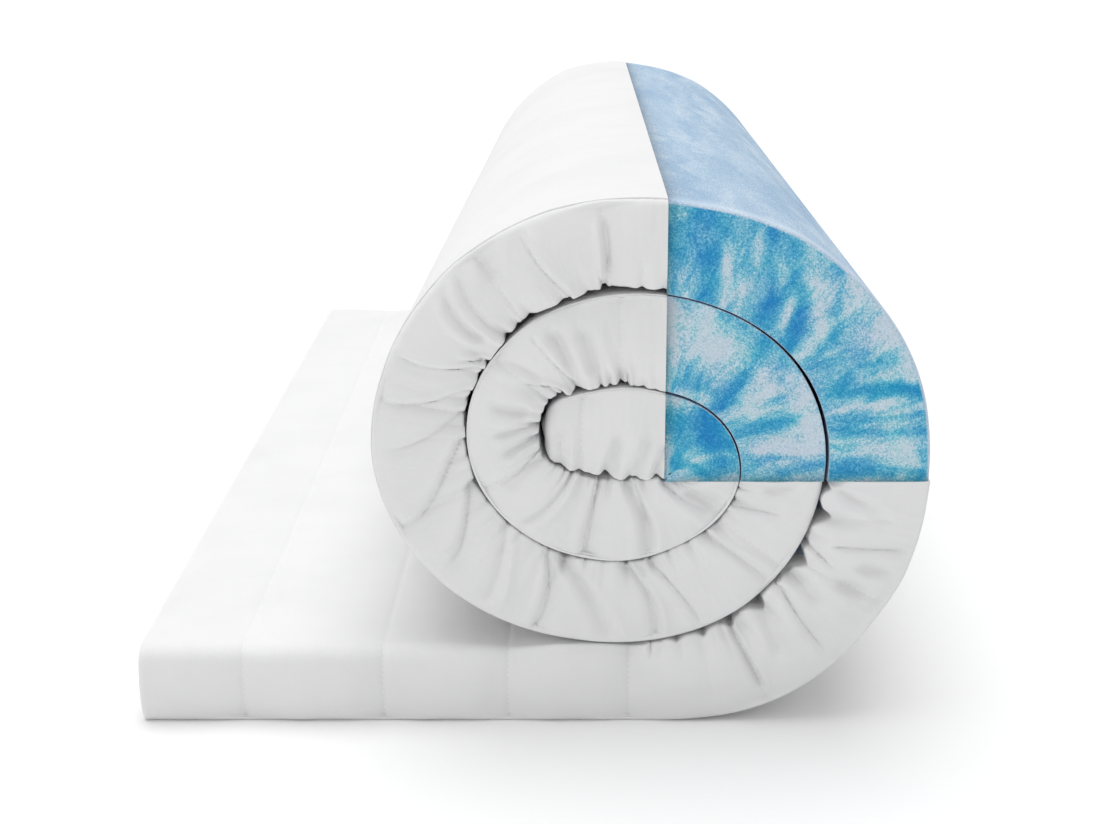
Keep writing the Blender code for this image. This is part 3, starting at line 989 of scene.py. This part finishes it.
@dataclass(frozen=True)
class ThreadFinish:
    """White sewing thread, twisted and a little brighter than the cloth."""

    name: str = "white thread"
    light: tuple = (0.90, 0.90, 0.90)
    shade: tuple = (0.80, 0.80, 0.805)
    light_at: float = 0.62
    shade_at: float = 0.35
    twist: tuple = (1800.0, 1.0)  # scale and detail

    def material(self) -> Material:
        """Build the material from the thread's own place.

        Returns:
            The material.
        """
        mixer = Mixer(self.name)
        place = mixer.add("ShaderNodeTexCoord", {}, "Object")
        tones = ((self.shade_at, self.shade), (self.light_at, self.light))
        colour = mixer.ramp(mixer.noise(place, *self.twist), tones)
        return mixer.dressed({"Base Color": colour, "Roughness": 0.6, "Sheen Weight": 0.2})


@dataclass(frozen=True)
class FoamFinish:
    """Marbled gel foam: streaks of blue dye across the slab, open pores, a paler skin, a painted
    highlight on its rim and painted shade beside the cuts.
    """

    name: str = "marbled foam"
    deep: tuple = (0.008, 0.225, 0.515)
    blue: tuple = (0.040, 0.300, 0.550)
    cyan: tuple = (0.122, 0.420, 0.615)
    mist: tuple = (0.290, 0.540, 0.660)
    pale: tuple = (0.525, 0.625, 0.720)
    skin: tuple = (0.640, 0.725, 0.790)
    skin_shade: tuple = (0.270, 0.410, 0.570)
    # painted highlight: the colour painted on the outermost turn's rounded rim
    edge: tuple = (0.640, 0.715, 0.800)
    dye_levels: tuple = (0.34, 0.46, 0.58, 0.72, 0.88)  # from pale to deep
    skin_level: float = 0.70
    skin_shade_level: float = 1.16
    pores: tuple = (900.0, 3.0, 0.75)  # scale, detail and roughness
    pore_bump: tuple = (0.6, 0.0004)
    drift: tuple = (26.0, 2.0)
    bend: float = 0.030  # how far the drift bends the marbling
    streak_scale: tuple = (85.0, 16.0, 24.0)
    streaks: tuple = (1.0, 5.0, 0.58, 0.4)
    skin_scale: tuple = (60.0, 7.0, 40.0)
    skin_streaks: tuple = (1.0, 4.0)
    skin_streak_share: float = 0.5
    dye_share: float = 0.25
    pore_share: float = 0.85
    skin_pores: float = 1.35
    middle: float = 0.415
    hue_patches: tuple = (34.0, 2.0)
    hue_drift: float = 0.075  # between blue and teal patches
    hue_middle: float = 0.494
    speck_drop: float = 0.7  # how much darker an open pore is
    cut_shadow_drop: float = 0.46  # how much darker the painted shadow makes the foam in the hollow beside the cover's cut edge
    rough_drift: float = 0.25
    rough_least: float = 0.62

    def material(self) -> Material:
        """Build the material from the slab coordinates and the three marks.

        Returns:
            The material.
        """
        mixer = Mixer(self.name)
        place = mixer.attribute("slab")
        dye, skin_mark, edge_light_mark = mixer.split(mixer.attribute("marks"))
        drift = mixer.noise(place, *self.drift).node.outputs["Color"]
        centred = mixer.add("ShaderNodeVectorMath", {0: drift, 1: (0.5,) * 3}, operation="SUBTRACT")
        moves = {0: centred, 1: (self.bend,) * 3, 2: place}
        bent = mixer.add("ShaderNodeVectorMath", moves, operation="MULTIPLY_ADD")
        drawn, across = (
            mixer.add("ShaderNodeMapping", {"Vector": bent, "Scale": scale})
            for scale in (self.streak_scale, self.skin_scale)
        )
        streaks = mixer.noise(drawn, *self.streaks)
        grain = mixer.noise(place, *self.pores)
        dyed = mixer.maths("MULTIPLY_ADD", dye, self.dye_share, streaks)
        speck = mixer.maths("MULTIPLY_ADD", grain, self.pore_share, dyed)
        dyes = (self.pale, self.mist, self.cyan, self.blue, self.deep)
        level = mixer.maths("SUBTRACT", speck, self.middle)
        face = mixer.ramp(level, tuple(zip(self.dye_levels, dyes)))
        patches = mixer.noise(place, *self.hue_patches)
        hue_least = self.hue_middle - self.hue_drift / 2
        hue = mixer.maths("MULTIPLY_ADD", patches, self.hue_drift, hue_least)
        value = mixer.maths("MULTIPLY_ADD", grain, -self.speck_drop, 1 + self.speck_drop / 2)
        speckled = mixer.add("ShaderNodeHueSaturation", {"Hue": hue, "Value": value, "Color": face})
        clouds = mixer.noise(across, *self.skin_streaks)
        streaked = mixer.maths("MULTIPLY", clouds, self.skin_streak_share)
        faint = mixer.maths("MULTIPLY_ADD", grain, self.skin_pores, streaked)
        skins = ((self.skin_level, self.skin), (self.skin_shade_level, self.skin_shade))
        skin = mixer.ramp(faint, skins)
        colour = mixer.mixed(skin_mark, speckled, skin)
        # painted highlight on the outermost turn's rounded rim
        colour = mixer.mixed(edge_light_mark, colour, (*self.edge, 1.0))
        # painted shadow: the foam is darkened beside each cut, under the cover's cut edge
        cut_shadow = mixer.maths("MULTIPLY_ADD", edge_light_mark, self.cut_shadow_drop, 1.0)
        shade = {"Value": mixer.maths("MINIMUM", cut_shadow, 1.0), "Color": colour}
        return mixer.dressed(
            {
                "Base Color": mixer.add("ShaderNodeHueSaturation", shade),
                "Normal": mixer.bump(grain, *self.pore_bump),
                "Roughness": mixer.maths("MULTIPLY_ADD", grain, self.rough_drift, self.rough_least),
                "Specular IOR Level": 0.3,
            }
        )


@dataclass
class SlabMesh:
    """A mesh laid out in rings along the slab, with the slab's own coordinates on it."""

    name: str
    points: list = field(default_factory=list)
    slab: list = field(default_factory=list)
    marks: list = field(default_factory=list)
    faces: list = field(default_factory=list)

    def add_rings(self, points: Array, slab: Array, marks: Optional[Array] = None) -> list[int]:
        """Add rings of points.

        Args:
            points: Places, rings by points.
            slab: Slab coordinates for each point.
            marks: Three weights for each point, all 0 where none are given.

        Returns:
            The first vertex of each ring.
        """
        first, (rings, count, _) = len(self.points), points.shape
        marks = np.zeros(points.shape) if marks is None else marks
        for rows, values in ((self.points, points), (self.slab, slab), (self.marks, marks)):
            rows += values.reshape(-1, 3).tolist()
        return [first + i * count for i in range(rings)]

    def skin(self, starts: list[int], count: int, flip: bool = False) -> None:
        """Add the faces along a chain of rings.

        Args:
            starts: Each ring's first vertex.
            count: How many points a ring has.
            flip: Turn the faces the other way round.
        """
        for first, second in zip(starts[:-1], starts[1:]):
            for j in range(count):
                k = (j + 1) % count
                face = (first + j, second + j, second + k, first + k)
                self.faces.append(face[::-1] if flip else face)

    def finished(self, material: Material) -> bpy.types.Object:
        """Make the object: doubles merged at the closed ends, shaded smooth.

        Args:
            material: The piece's finish.

        Returns:
            The object, linked to the scene.
        """
        mesh = bpy.data.meshes.new(self.name)
        mesh.from_pydata(self.points, [], self.faces)
        for name, values in (("slab", np.array(self.slab)), ("marks", np.array(self.marks))):
            if values.any():
                attribute = mesh.attributes.new(name, "FLOAT_VECTOR", "POINT")
                attribute.data.foreach_set("vector", values.ravel())
        build = bmesh.new()
        build.from_mesh(mesh)
        bmesh.ops.remove_doubles(build, verts=build.verts, dist=MERGED_WITHIN)
        bmesh.ops.dissolve_degenerate(build, edges=build.edges, dist=FLAT_WITHIN)
        build.to_mesh(mesh)
        build.free()
        mesh.polygons.foreach_set("use_smooth", [True] * len(mesh.polygons))
        mesh.set_sharp_from_angle(angle=math.radians(SHARP_DEGREES))
        mesh.materials.append(material)
        return linked(self.name, mesh)


@dataclass
class SlabPiece:
    """What the cover's sleeves and the foam share: the slab, an outline and its rounded ends."""

    slab: Slab
    outline: Outline = field(default_factory=Outline)
    free_round: float = 0.0045
    inner_round: float = 0.017
    round_shares: tuple = (0.0, 0.02, 0.06, 0.13, 0.24, 0.4, 0.65)
    cap_steps: int = 7
    cap_middle: float = 0.030  # how far from the borders an end's middle line stops
    end_bulge: float = 0.0
    end_fold: float = 0.0  # how far an end's coordinates run on toward its middle
    wrapped: float = 0.0  # 1 where the coordinates run round the section

    @property
    def last_part(self) -> int:
        """The number of the slab's innermost part, counted from the free end."""
        return len(self.slab.stops) - 2

    def planes(self, part: int) -> tuple[Optional[Plane], Optional[Plane]]:
        """The planes at a part's two ends, None at the slab's own ends."""
        ends = (None, *(cut.plane for cut in CUTS), None)
        return ends[part], ends[part + 1]

    def stations(self, part: int, step: float, tip: float = 0.0) -> Array:
        """Evenly spaced stations of one part, closer at a rounded end.

        Args:
            part: Which part of the slab, counted from the free end.
            step: The spacing.
            tip: How far inside the slab's end the piece starts or stops.

        Returns:
            The stations.
        """
        first, last = self.slab.stops[part], self.slab.stops[part + 1]
        head, tail = [], []
        shares = np.array(self.round_shares)
        if part == 0:
            head = tip + shares * self.free_round
            first = tip + self.free_round
        if part == self.last_part:
            tail = last - tip - shares[::-1] * self.inner_round
            last = last - tip - self.inner_round
        count = int(np.ceil((last - first) / step)) + 1
        return np.concatenate([head, np.linspace(first, last, count), tail])

    def drop(self, stations: Array, tip: float = 0.0) -> Array:
        """How far the outline is drawn in at the slab's rounded ends.

        Args:
            stations: One for each section.
            tip: How far inside the slab's end the piece starts or stops.

        Returns:
            The distance, one for each section.
        """
        length = self.slab.stops[-1]
        total = np.zeros(len(stations))
        ends = ((stations - tip, self.free_round), (length - tip - stations, self.inner_round))
        for near, radius in ends:
            share = np.clip(1 - near / radius, 0, 1)
            total = np.maximum(total, (1 - np.sqrt(np.maximum(0, 1 - share**2))) * radius)
        return total

    def coordinates(self, stations: Array, n: Array, y: Array) -> Array:
        """Slab coordinates for a finish: station, way across or round the section, and n."""
        where = np.broadcast_to(stations[:, None], n.shape)
        return np.stack([where, y + self.wrapped * n, n], -1)

    def close(self, mesh: SlabMesh, skin: tuple, part: int, flip: bool = False) -> None:
        """Close a skin at the slab's own end, with rings that run in to a middle line.

        Args:
            mesh: The mesh to add to.
            skin: The skin's stations, distances outward, depths and rings.
            part: The skin's part. Only the first and the last have an end to close.
            flip: The skin's faces are turned the other way round.
        """
        if part not in (0, self.last_part):
            return
        side = -1 if part == 0 else 1
        station, n, y, ring = (rows[0 if part == 0 else -1] for rows in skin)
        spine = np.clip(y, self.cap_middle, WIDTH - self.cap_middle)
        rings = [ring]
        for share in np.linspace(0, 1, self.cap_steps + 1)[1:]:
            row_n = (n * (1 - share))[None]
            row_y = (spine + (y - spine) * (1 - share))[None]
            bulge = side * self.end_bulge * (1 - (1 - share) ** 2)
            points = self.slab.placed(np.array([station]), row_n, row_y, push=bulge)
            where = np.array([station + bulge - side * self.end_fold * share])
            rings += mesh.add_rings(points, self.coordinates(where, row_n, row_y))
        mesh.skin(rings, len(n), flip == (part > 0))


@dataclass
class QuiltedSleeve(SlabPiece):
    """One length of the quilted cover: a padded sleeve, open at a cut and closed at its own end."""

    name: str = "cover_run"
    part: int = 0
    relief: BorderRelief = field(default_factory=BorderRelief)
    end_bulge: float = 0.0025
    end_fold: float = 0.02
    wrapped: float = 1.0
    step: float = 0.0010
    lining_step: float = 0.0050  # on the inside of the wall
    wall: float = 0.0022
    border: float = 0.0012
    outer_corner: float = 0.0020
    rim_corner: float = 0.0048  # the outer edge of the roll's outermost turn
    run_corner: float = 0.0090  # the soft inner edge of the flat run
    run_until: float = 0.20  # the station where this edge begins to sharpen
    run_over: float = 0.07
    inner_corner: float = 0.0020
    least_corner: float = 0.0004  # on the inside of the wall
    seam_depth: float = 0.0008
    seamed_parts: tuple = (0, 2)
    end_fade: float = 0.012  # how far from the slab's ends the relief is full
    end_share: float = 0.25  # and how much of it is left there
    cut_puff: float = 0.35  # the border's puff at a cut, as a share of its full puff
    cut_reach: float = 0.022  # how far from a cut the puff is full again
    drawn_share: float = 0.55  # how far the inner edge draws back, as a share of a fold's depth
    drawn_border: float = 0.020  # how far up the border this is felt
    drawn_face: float = 0.030  # and how far along the inner face
    stitch_lift: float = 0.0001
    stitch_margin: float = 0.004  # no channel is sewn this near a cut
    stitch_share: float = 0.93  # stitches stop here, short of the outer edge
    stitch_turn: float = 0.2  # and lie where the outline's normal is turned out less than this
    seam_turn: float = 0.99  # the seam lies where it is turned out more than this

    def ring_sizes(self, stations: Array, inset: float) -> tuple[Array, Array, Array]:
        """A skin's half thickness and its points before the relief.

        Args:
            stations: One for each ring.
            inset: 0 for the outer skin, the wall for the inner one.

        Returns:
            Half thickness, distance outward and depth.
        """
        drop = self.drop(stations, inset)
        half = self.slab.half_at(stations) - inset - drop
        rolled = smooth((stations - self.run_until) / self.run_over)
        inner = self.run_corner + (self.inner_corner - self.run_corner) * rolled - inset
        rim = self.rim_corner if self.part == 2 else self.outer_corner
        outer = np.full(len(stations), max(rim - inset, self.least_corner))
        corners = (outer, np.maximum(inner, self.least_corner))
        swells = (swell(OUTER_SWELL, stations), swell(COVER_SWELL, stations) - notched(stations))
        return half, *self.outline.sized(half, self.border + inset + drop, corners, swells)

    def shaped(self, stations: Array, inset: float) -> Pair:
        """A skin's points with puffs, creases and channels.

        Args:
            stations: One for each ring.
            inset: 0 for the outer skin, the wall for the inner one.

        Returns:
            Distance outward and depth, rings by points.
        """
        half, n, y = self.ring_sizes(stations, inset)
        depth = self.relief.depth(self.outline, stations, half, n, y)
        share = np.clip(n / half[:, None], -1, 1)
        out, deep = self.outline.normals()
        puff = self.relief.puff * (1 - np.abs(share) ** self.relief.fullness)
        puff = puff * (np.abs(out) < FACE_NORMAL)
        full = smooth(self.slab.from_cuts(stations) / self.cut_reach)
        puff = puff * (self.cut_puff + (1 - self.cut_puff) * full)[:, None]
        from_end = np.minimum(stations - inset, self.slab.stops[-1] - inset - stations)
        depth = depth * smooth(from_end / self.end_fade + self.end_share)[:, None]
        if self.part in self.seamed_parts and inset == 0:
            seam = (out > self.seam_turn) & (out < FACE_NORMAL)
            depth = depth + self.seam_depth * seam
        outward, inward = self.drawn_edges(n, y, depth)
        return n + outward, y + inward + np.sign(deep) * puff

    def drawn_edges(self, n: Array, y: Array, depth: Array) -> Pair:
        """Moves by the relief, with each inner edge moved as one so that no cloth is turned over.

        Args:
            n: Distances outward before the relief.
            y: Depths before the relief.
            depth: The relief.

        Returns:
            How far each point moves outward and in depth.
        """
        out, deep = self.outline.normals()
        level, under = np.abs(out) < 1 - FACE_NORMAL, out < -FACE_NORMAL
        outward, inward = -out * depth, -deep * depth
        for corner, sign in zip(self.outline.edges, (1, -1)):
            ahead, behind = corner[0], corner[-1]
            drawn, sunk = self.drawn_share * depth[:, behind, None], sign * depth[:, ahead, None]
            border = level & (self.outline.far == (sign < 0))
            away = n - n[:, ahead, None]
            outward += np.where(border, drawn * np.clip(1 - away / self.drawn_border, 0, 1), 0.0)
            away = sign * (y - y[:, behind, None])
            follows = under & (np.abs(y - WIDTH * (sign < 0)) < WIDTH / 2)
            near = np.where(follows, np.clip(1 - away / self.drawn_face, 0, 1), 0.0)
            outward *= 1 - (1 - self.drawn_share) * near
            inward += sunk * near
            outward[:, corner] = drawn
            inward[:, corner] = sunk
        return outward, inward

    def build(self, cloth: Material) -> bpy.types.Object:
        """Build the sleeve from its outer skin and its lining.

        Args:
            cloth: The cover's finish.

        Returns:
            The sleeve's object.
        """
        mesh = SlabMesh(self.name)
        count = len(self.outline.rows)
        rings = []
        for inset, step in ((0.0, self.step), (self.wall, self.lining_step)):
            stations = self.stations(self.part, step, inset)
            n, y = self.shaped(stations, inset)
            points = self.slab.placed(stations, n, y, self.planes(self.part))
            starts = mesh.add_rings(points, self.coordinates(stations, n, y))
            flip = inset > 0
            mesh.skin(starts, count, flip)
            self.close(mesh, (stations, n, y, starts), self.part, flip)
            rings.append(starts)
        if self.part:
            mesh.skin([rings[0][0], rings[1][0]], count, flip=True)
        if self.part < self.last_part:
            mesh.skin([rings[0][-1], rings[1][-1]], count)
        return mesh.finished(cloth)

    def stitch_lines(self) -> list[Array]:
        """Where the channels' threads run.

        Returns:
            A line of points for each channel, over the border, the inner face and the far border.
        """
        first, last = self.slab.stops[self.part], self.slab.stops[self.part + 1]
        out, deep = self.outline.normals()
        lines = []
        for station in columns(CHANNELS_MM):
            if not first + self.stitch_margin < station < last - self.stitch_margin:
                continue
            stations = np.array([station])
            n, y = self.shaped(stations, 0.0)
            n, y = n + out * self.stitch_lift, y + deep * self.stitch_lift
            share = n[0] / self.slab.half_at(stations)
            sewn = (out < self.stitch_turn) & (share < self.stitch_share)
            lines.append(self.slab.placed(stations, n, y)[0][sewn])
        return lines


@dataclass
class StitchRuns:
    """Threads laid as short stitches along lines, one mesh for each sleeve."""

    pitch: float = 0.0040
    length: float = 0.0030
    radius: float = 0.00034
    segments: int = 6
    rings: int = 4

    def tree(self, thread: Material) -> bpy.types.NodeTree:
        """Build the node tree that lays a stitch at each pitch of a curve.

        Args:
            thread: The thread's finish.

        Returns:
            The tree, with its sizes as named inputs.
        """
        tree = bpy.data.node_groups.new("stitch runs", "GeometryNodeTree")
        sizes = ("Pitch", "Stitch Length", "Thread Radius")
        sockets = (("Lines", "INPUT", "Geometry"), *((size, "INPUT", "Float") for size in sizes))
        for label, way, kind in (*sockets, ("Stitches", "OUTPUT", "Geometry")):
            tree.interface.new_socket(label, in_out=way, socket_type=f"NodeSocket{kind}")
        bench = Bench(tree)
        entry = tree.nodes.new("NodeGroupInput").outputs
        radius = entry["Thread Radius"]
        curve = bench.add("GeometryNodeMeshToCurve", {"Mesh": entry["Lines"]})
        spacing = {"Curve": curve, "Length": entry["Pitch"]}
        spaced = bench.add("GeometryNodeResampleCurve", spacing, mode="LENGTH")
        tangent = bench.add("GeometryNodeInputTangent", {})
        turned = bench.add("FunctionNodeAlignRotationToVector", {"Vector": tangent}, axis="Z")
        fineness = {"Segments": self.segments, "Rings": self.rings, "Radius": 1.0}
        bead = bench.add("GeometryNodeMeshUVSphere", fineness)
        halved = {0: entry["Stitch Length"], 1: 0.5}
        half = bench.add("ShaderNodeMath", halved, operation="MULTIPLY")
        size = bench.add("ShaderNodeCombineXYZ", {"X": radius, "Y": radius, "Z": half})
        beads = {"Points": spaced, "Instance": bead, "Rotation": turned, "Scale": size}
        laid = bench.add("GeometryNodeInstanceOnPoints", beads)
        real = bench.add("GeometryNodeRealizeInstances", {"Geometry": laid})
        dressed = bench.add("GeometryNodeSetMaterial", {"Geometry": real, "Material": thread})
        bench.fill(tree.nodes.new("NodeGroupOutput"), {"Stitches": dressed})
        return tree

    def build(
        self, name: str, lines: list[Array], tree: bpy.types.NodeTree
    ) -> Optional[bpy.types.Object]:
        """Lay stitches along lines.

        Args:
            name: The object's name.
            lines: The lines' points.
            tree: The node tree that lays stitches.

        Returns:
            The stitches as one plain mesh, or None where there are no lines.
        """
        if not lines:
            return None
        points, edges = [], []
        for line in lines:
            first = len(points)
            points += line.tolist()
            edges += [(first + i, first + i + 1) for i in range(len(line) - 1)]
        path = bpy.data.meshes.new(name)
        path.from_pydata(points, edges, [])
        obj = linked(name, path)
        modifier = obj.modifiers.new("stitches", "NODES")
        modifier.node_group = tree
        sizes = {"Pitch": self.pitch, "Stitch Length": self.length, "Thread Radius": self.radius}
        for item in tree.interface.items_tree:
            if item.name in sizes:
                modifier[item.identifier] = sizes[item.name]
        evaluated = obj.evaluated_get(bpy.context.evaluated_depsgraph_get())
        mesh = bpy.data.meshes.new_from_object(evaluated)
        obj.modifiers.clear()
        obj.data = mesh
        mesh.polygons.foreach_set("use_smooth", [True] * len(mesh.polygons))
        return obj


@dataclass
class FoamCore(SlabPiece):
    """The foam slab: bare and fine where the cover is cut away, plain inside the sleeves."""

    name: str = "foam_core"
    # step, inset, border's depth, how far past the cuts, and corner
    bare: tuple = (0.0017, 0.0002, 0.0018, 0.0, 0.0007)
    sleeved: tuple = (0.012, 0.0048, 0.0145, -0.0003, 0.016)
    bare_rim: float = 0.0010  # how far the outermost turn lies under the cover's outer face
    rim_corner: float = 0.0034  # at the roll's outer edge, moulded round
    streak_width: float = 0.62  # of a streak's width, where its dye has faded to a third
    dye_depth: float = 0.04  # how deep behind the end faces the streaks reach
    far_dye: float = -0.8  # the far end has the near end's streaks turned pale for blue
    highlight_at: float = 0.0058  # the painted highlight on the outermost turn's rim: where, how wide and how strong
    highlight_width: float = 0.011
    highlight_share: float = 0.5
    highlight_turn: float = 0.35  # it begins where the outline's normal is turned out this much
    # painted shadow beside each cut: how fast it fades, and how far it reaches
    cut_shadow_fall: float = 1.4
    cut_shadow_reach: float = 0.0050  # how far from a cut the painted shadow darkens the foam

    def dye(self, s: Array, n: Array, half: Array) -> Array:
        """How blue the listed streaks make each point.

        Args:
            s: Stations, rings by points.
            n: Distance outward.
            half: Half the thickness.

        Returns:
            The dye, from -1 for pale to 1 for deep.
        """
        total = np.zeros(s.shape)
        p = np.stack([s, n], -1)
        for row in STREAKS:
            a = np.stack([np.full(s.shape, row.station_mm / MM), row.share * half], -1)
            b = np.stack([np.full(s.shape, row.to_station_mm / MM), row.to_share * half], -1)
            along = ((p - a) * (b - a)).sum(-1) / ((b - a) ** 2).sum(-1)
            nearest = a + np.clip(along, 0, 1)[..., None] * (b - a)
            away = np.sqrt(((p - nearest) ** 2).sum(-1))
            total += row.tint.value * bell(away / (row.width_mm / MM * self.streak_width))
        return np.clip(total, -1, 1)

    def marks(self, s: Array, n: Array, y: Array, half: Array) -> Array:
        """Weights that the finish reads: dye, skin and a painted rim highlight, below 0 for a
        painted shadow in the hollow at a cut.

        Args:
            s: Stations, rings by points.
            n: Distance outward.
            y: Depth.
            half: Half the thickness.

        Returns:
            The three weights for each point.
        """
        out = self.outline.rows[:, 4]
        end = np.minimum(y, WIDTH - y)
        far = np.where(y > WIDTH / 2, self.far_dye, 1.0)
        dye = self.dye(s, n, half) * far * smooth(1 - end / self.dye_depth)
        skin = np.broadcast_to(np.where(np.abs(out) < 0.5, 0.0, 1.0), n.shape)
        # painted highlight on the outermost turn's rounded rim
        edge = bell((end - self.highlight_at) / self.highlight_width)
        edge = edge * smooth((out - self.highlight_turn) / self.highlight_turn)
        outermost = (s > self.slab.stops[1]) & (s < self.slab.stops[2])
        edge = edge * np.where(outermost, self.highlight_share, 0.0)
        # less the painted shadow beside each cut
        edge = edge - bell(self.slab.from_cuts(s) / self.cut_shadow_reach, self.cut_shadow_fall)
        return np.stack([dye, skin, edge], -1)

    def build(self, foam: Material) -> bpy.types.Object:
        """Build the slab, part by part from the free end.

        Args:
            foam: The foam's finish.

        Returns:
            The slab's object.
        """
        mesh = SlabMesh(self.name)
        starts = []
        for part in range(self.last_part + 1):
            bare = part % 2 == 1
            step, inset, face, beyond, inner_corner = self.bare if bare else self.sleeved
            tip = 0.0 if bare else inset
            stations = self.stations(part, step, tip)
            drop = self.drop(stations, tip)
            outer_corner = self.rim_corner if part == 1 else inner_corner
            corners = [np.full(len(stations), radius) for radius in (outer_corner, inner_corner)]
            outer_swell = swell(OUTER_SWELL, stations) - (self.bare_rim if part == 1 else 0.0)
            inner_swell = swell(FOAM_SWELL, stations) if bare else np.zeros(len(stations))
            whole = self.slab.half_at(stations)
            half = whole - inset - drop
            n, y = self.outline.sized(half, face + drop, corners, (outer_swell, inner_swell))
            points = self.slab.placed(stations, n, y, self.planes(part), beyond)
            s, whole = (np.broadcast_to(row[:, None], n.shape) for row in (stations, whole))
            marks = self.marks(s, n, y, whole)
            starts += mesh.add_rings(points, self.coordinates(stations, n, y), marks)
            self.close(mesh, (stations, n, y, starts), part)
        mesh.skin(starts, len(self.outline.rows))
        return mesh.finished(foam)


@dataclass
class Studio:
    """A plain pale floor, soft light from above and the photograph's view."""

    floor_size: float = 60.0
    floor_colour: tuple = (0.875, 0.875, 0.875, 1.0)
    sky: float = 0.635
    sun: float = 1.87
    sun_angle: float = 55.0
    sun_from: tuple = (-0.06, 0.20, 1.0)
    fill: float = 0.36
    fill_angle: float = 60.0
    fill_from: tuple = (-1.0, -0.9, 0.40)
    camera_at: tuple = (0.0309, -1.5882, 0.5455)
    camera_down: float = 16.64
    camera_lens: float = 58.25
    camera_shift: float = -0.0227
    sensor_width: float = 36.0

    def build(self) -> None:
        """Build the floor, lights and camera."""
        self.floor()
        self.lights()
        self.camera()

    def floor(self) -> None:
        """Lay the floor."""
        bpy.ops.mesh.primitive_plane_add(size=self.floor_size)
        floor = bpy.context.object
        floor.name = "floor"
        looks = {"Base Color": self.floor_colour, "Roughness": 0.9, "Specular IOR Level": 0.1}
        floor.data.materials.append(Mixer("pale floor").dressed(looks))

    def lights(self) -> None:
        """Set an even white sky, a broad light from above and a weak fill from the near left."""
        world = bpy.data.worlds.new("studio")
        world.use_nodes = True
        background = world.node_tree.nodes["Background"]
        background.inputs["Color"].default_value = (1.0, 1.0, 1.0, 1.0)
        background.inputs["Strength"].default_value = self.sky
        bpy.context.scene.world = world
        self.lamp("soft light", self.sun, self.sun_angle, self.sun_from)
        self.lamp("fill light", self.fill, self.fill_angle, self.fill_from)
        bpy.context.scene.view_settings.view_transform = "Standard"

    @staticmethod
    def lamp(name: str, energy: float, angle: float, place: tuple) -> None:
        """Set one broad light.

        Args:
            name: The light's name.
            energy: Its strength.
            angle: How wide it looks from the topper, in degrees.
            place: The direction that it shines from.
        """
        light = bpy.data.lights.new(name, "SUN")
        light.energy = energy
        light.angle = math.radians(angle)
        lamp = linked(name, light)
        lamp.rotation_mode = "QUATERNION"
        lamp.rotation_quaternion = Vector(place).to_track_quat("Z", "Y")

    def camera(self) -> None:
        """Set the camera."""
        data = bpy.data.cameras.new("camera")
        data.lens = self.camera_lens
        data.sensor_width = self.sensor_width
        data.sensor_fit = "HORIZONTAL"
        data.shift_x = self.camera_shift
        camera = linked("camera", data)
        camera.location = self.camera_at
        camera.rotation_euler = (math.radians(90 - self.camera_down), 0.0, 0.0)
        bpy.context.scene.camera = camera


@dataclass
class Topper:
    """The whole topper: foam, four sleeves of cover and their stitches."""

    slab: Slab = field(default_factory=Slab)
    relief: BorderRelief = field(default_factory=BorderRelief)
    sleeves: tuple = ("cover_run", "cover_outer_turn", "cover_inner_turn", "cover_end")

    def build(self) -> None:
        cloth = ClothFinish().material()
        thread = ThreadFinish().material()
        foam = FoamFinish().material()
        runs = StitchRuns()
        tree = runs.tree(thread)
        core = FoamCore(self.slab).build(foam)
        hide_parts("foam_core")
        self.declare(core, "foam", 0.9)
        for i, name in enumerate(self.sleeves):
            sleeve = QuiltedSleeve(self.slab, name=name, part=2 * i, relief=self.relief)
            body = sleeve.build(cloth)
            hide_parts(name)
            self.declare(body, "cover", 0.7)
            stitches = runs.build(f"{name}_stitches", sleeve.stitch_lines(), tree)
            if stitches is not None:
                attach(stitches, "root")
                log.info("%s: %d faces", stitches.name, len(stitches.data.polygons))

    @staticmethod
    def declare(obj: bpy.types.Object, slot: str, fill: float) -> None:
        """Attach a soft piece to the root body, and report its face count.

        Args:
            obj: The piece.
            slot: The material slot's name; not used.
            fill: How full the padding is; not used.
        """
        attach(obj, "root")
        log.info("%s: %d faces", obj.name, len(obj.data.polygons))


def main() -> None:
    """Build the topper and its studio."""
    logging.basicConfig(level=logging.INFO, format="%(message)s")
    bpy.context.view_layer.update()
    Topper().build()
    Studio().build()


if __name__ == "__main__":
    main()
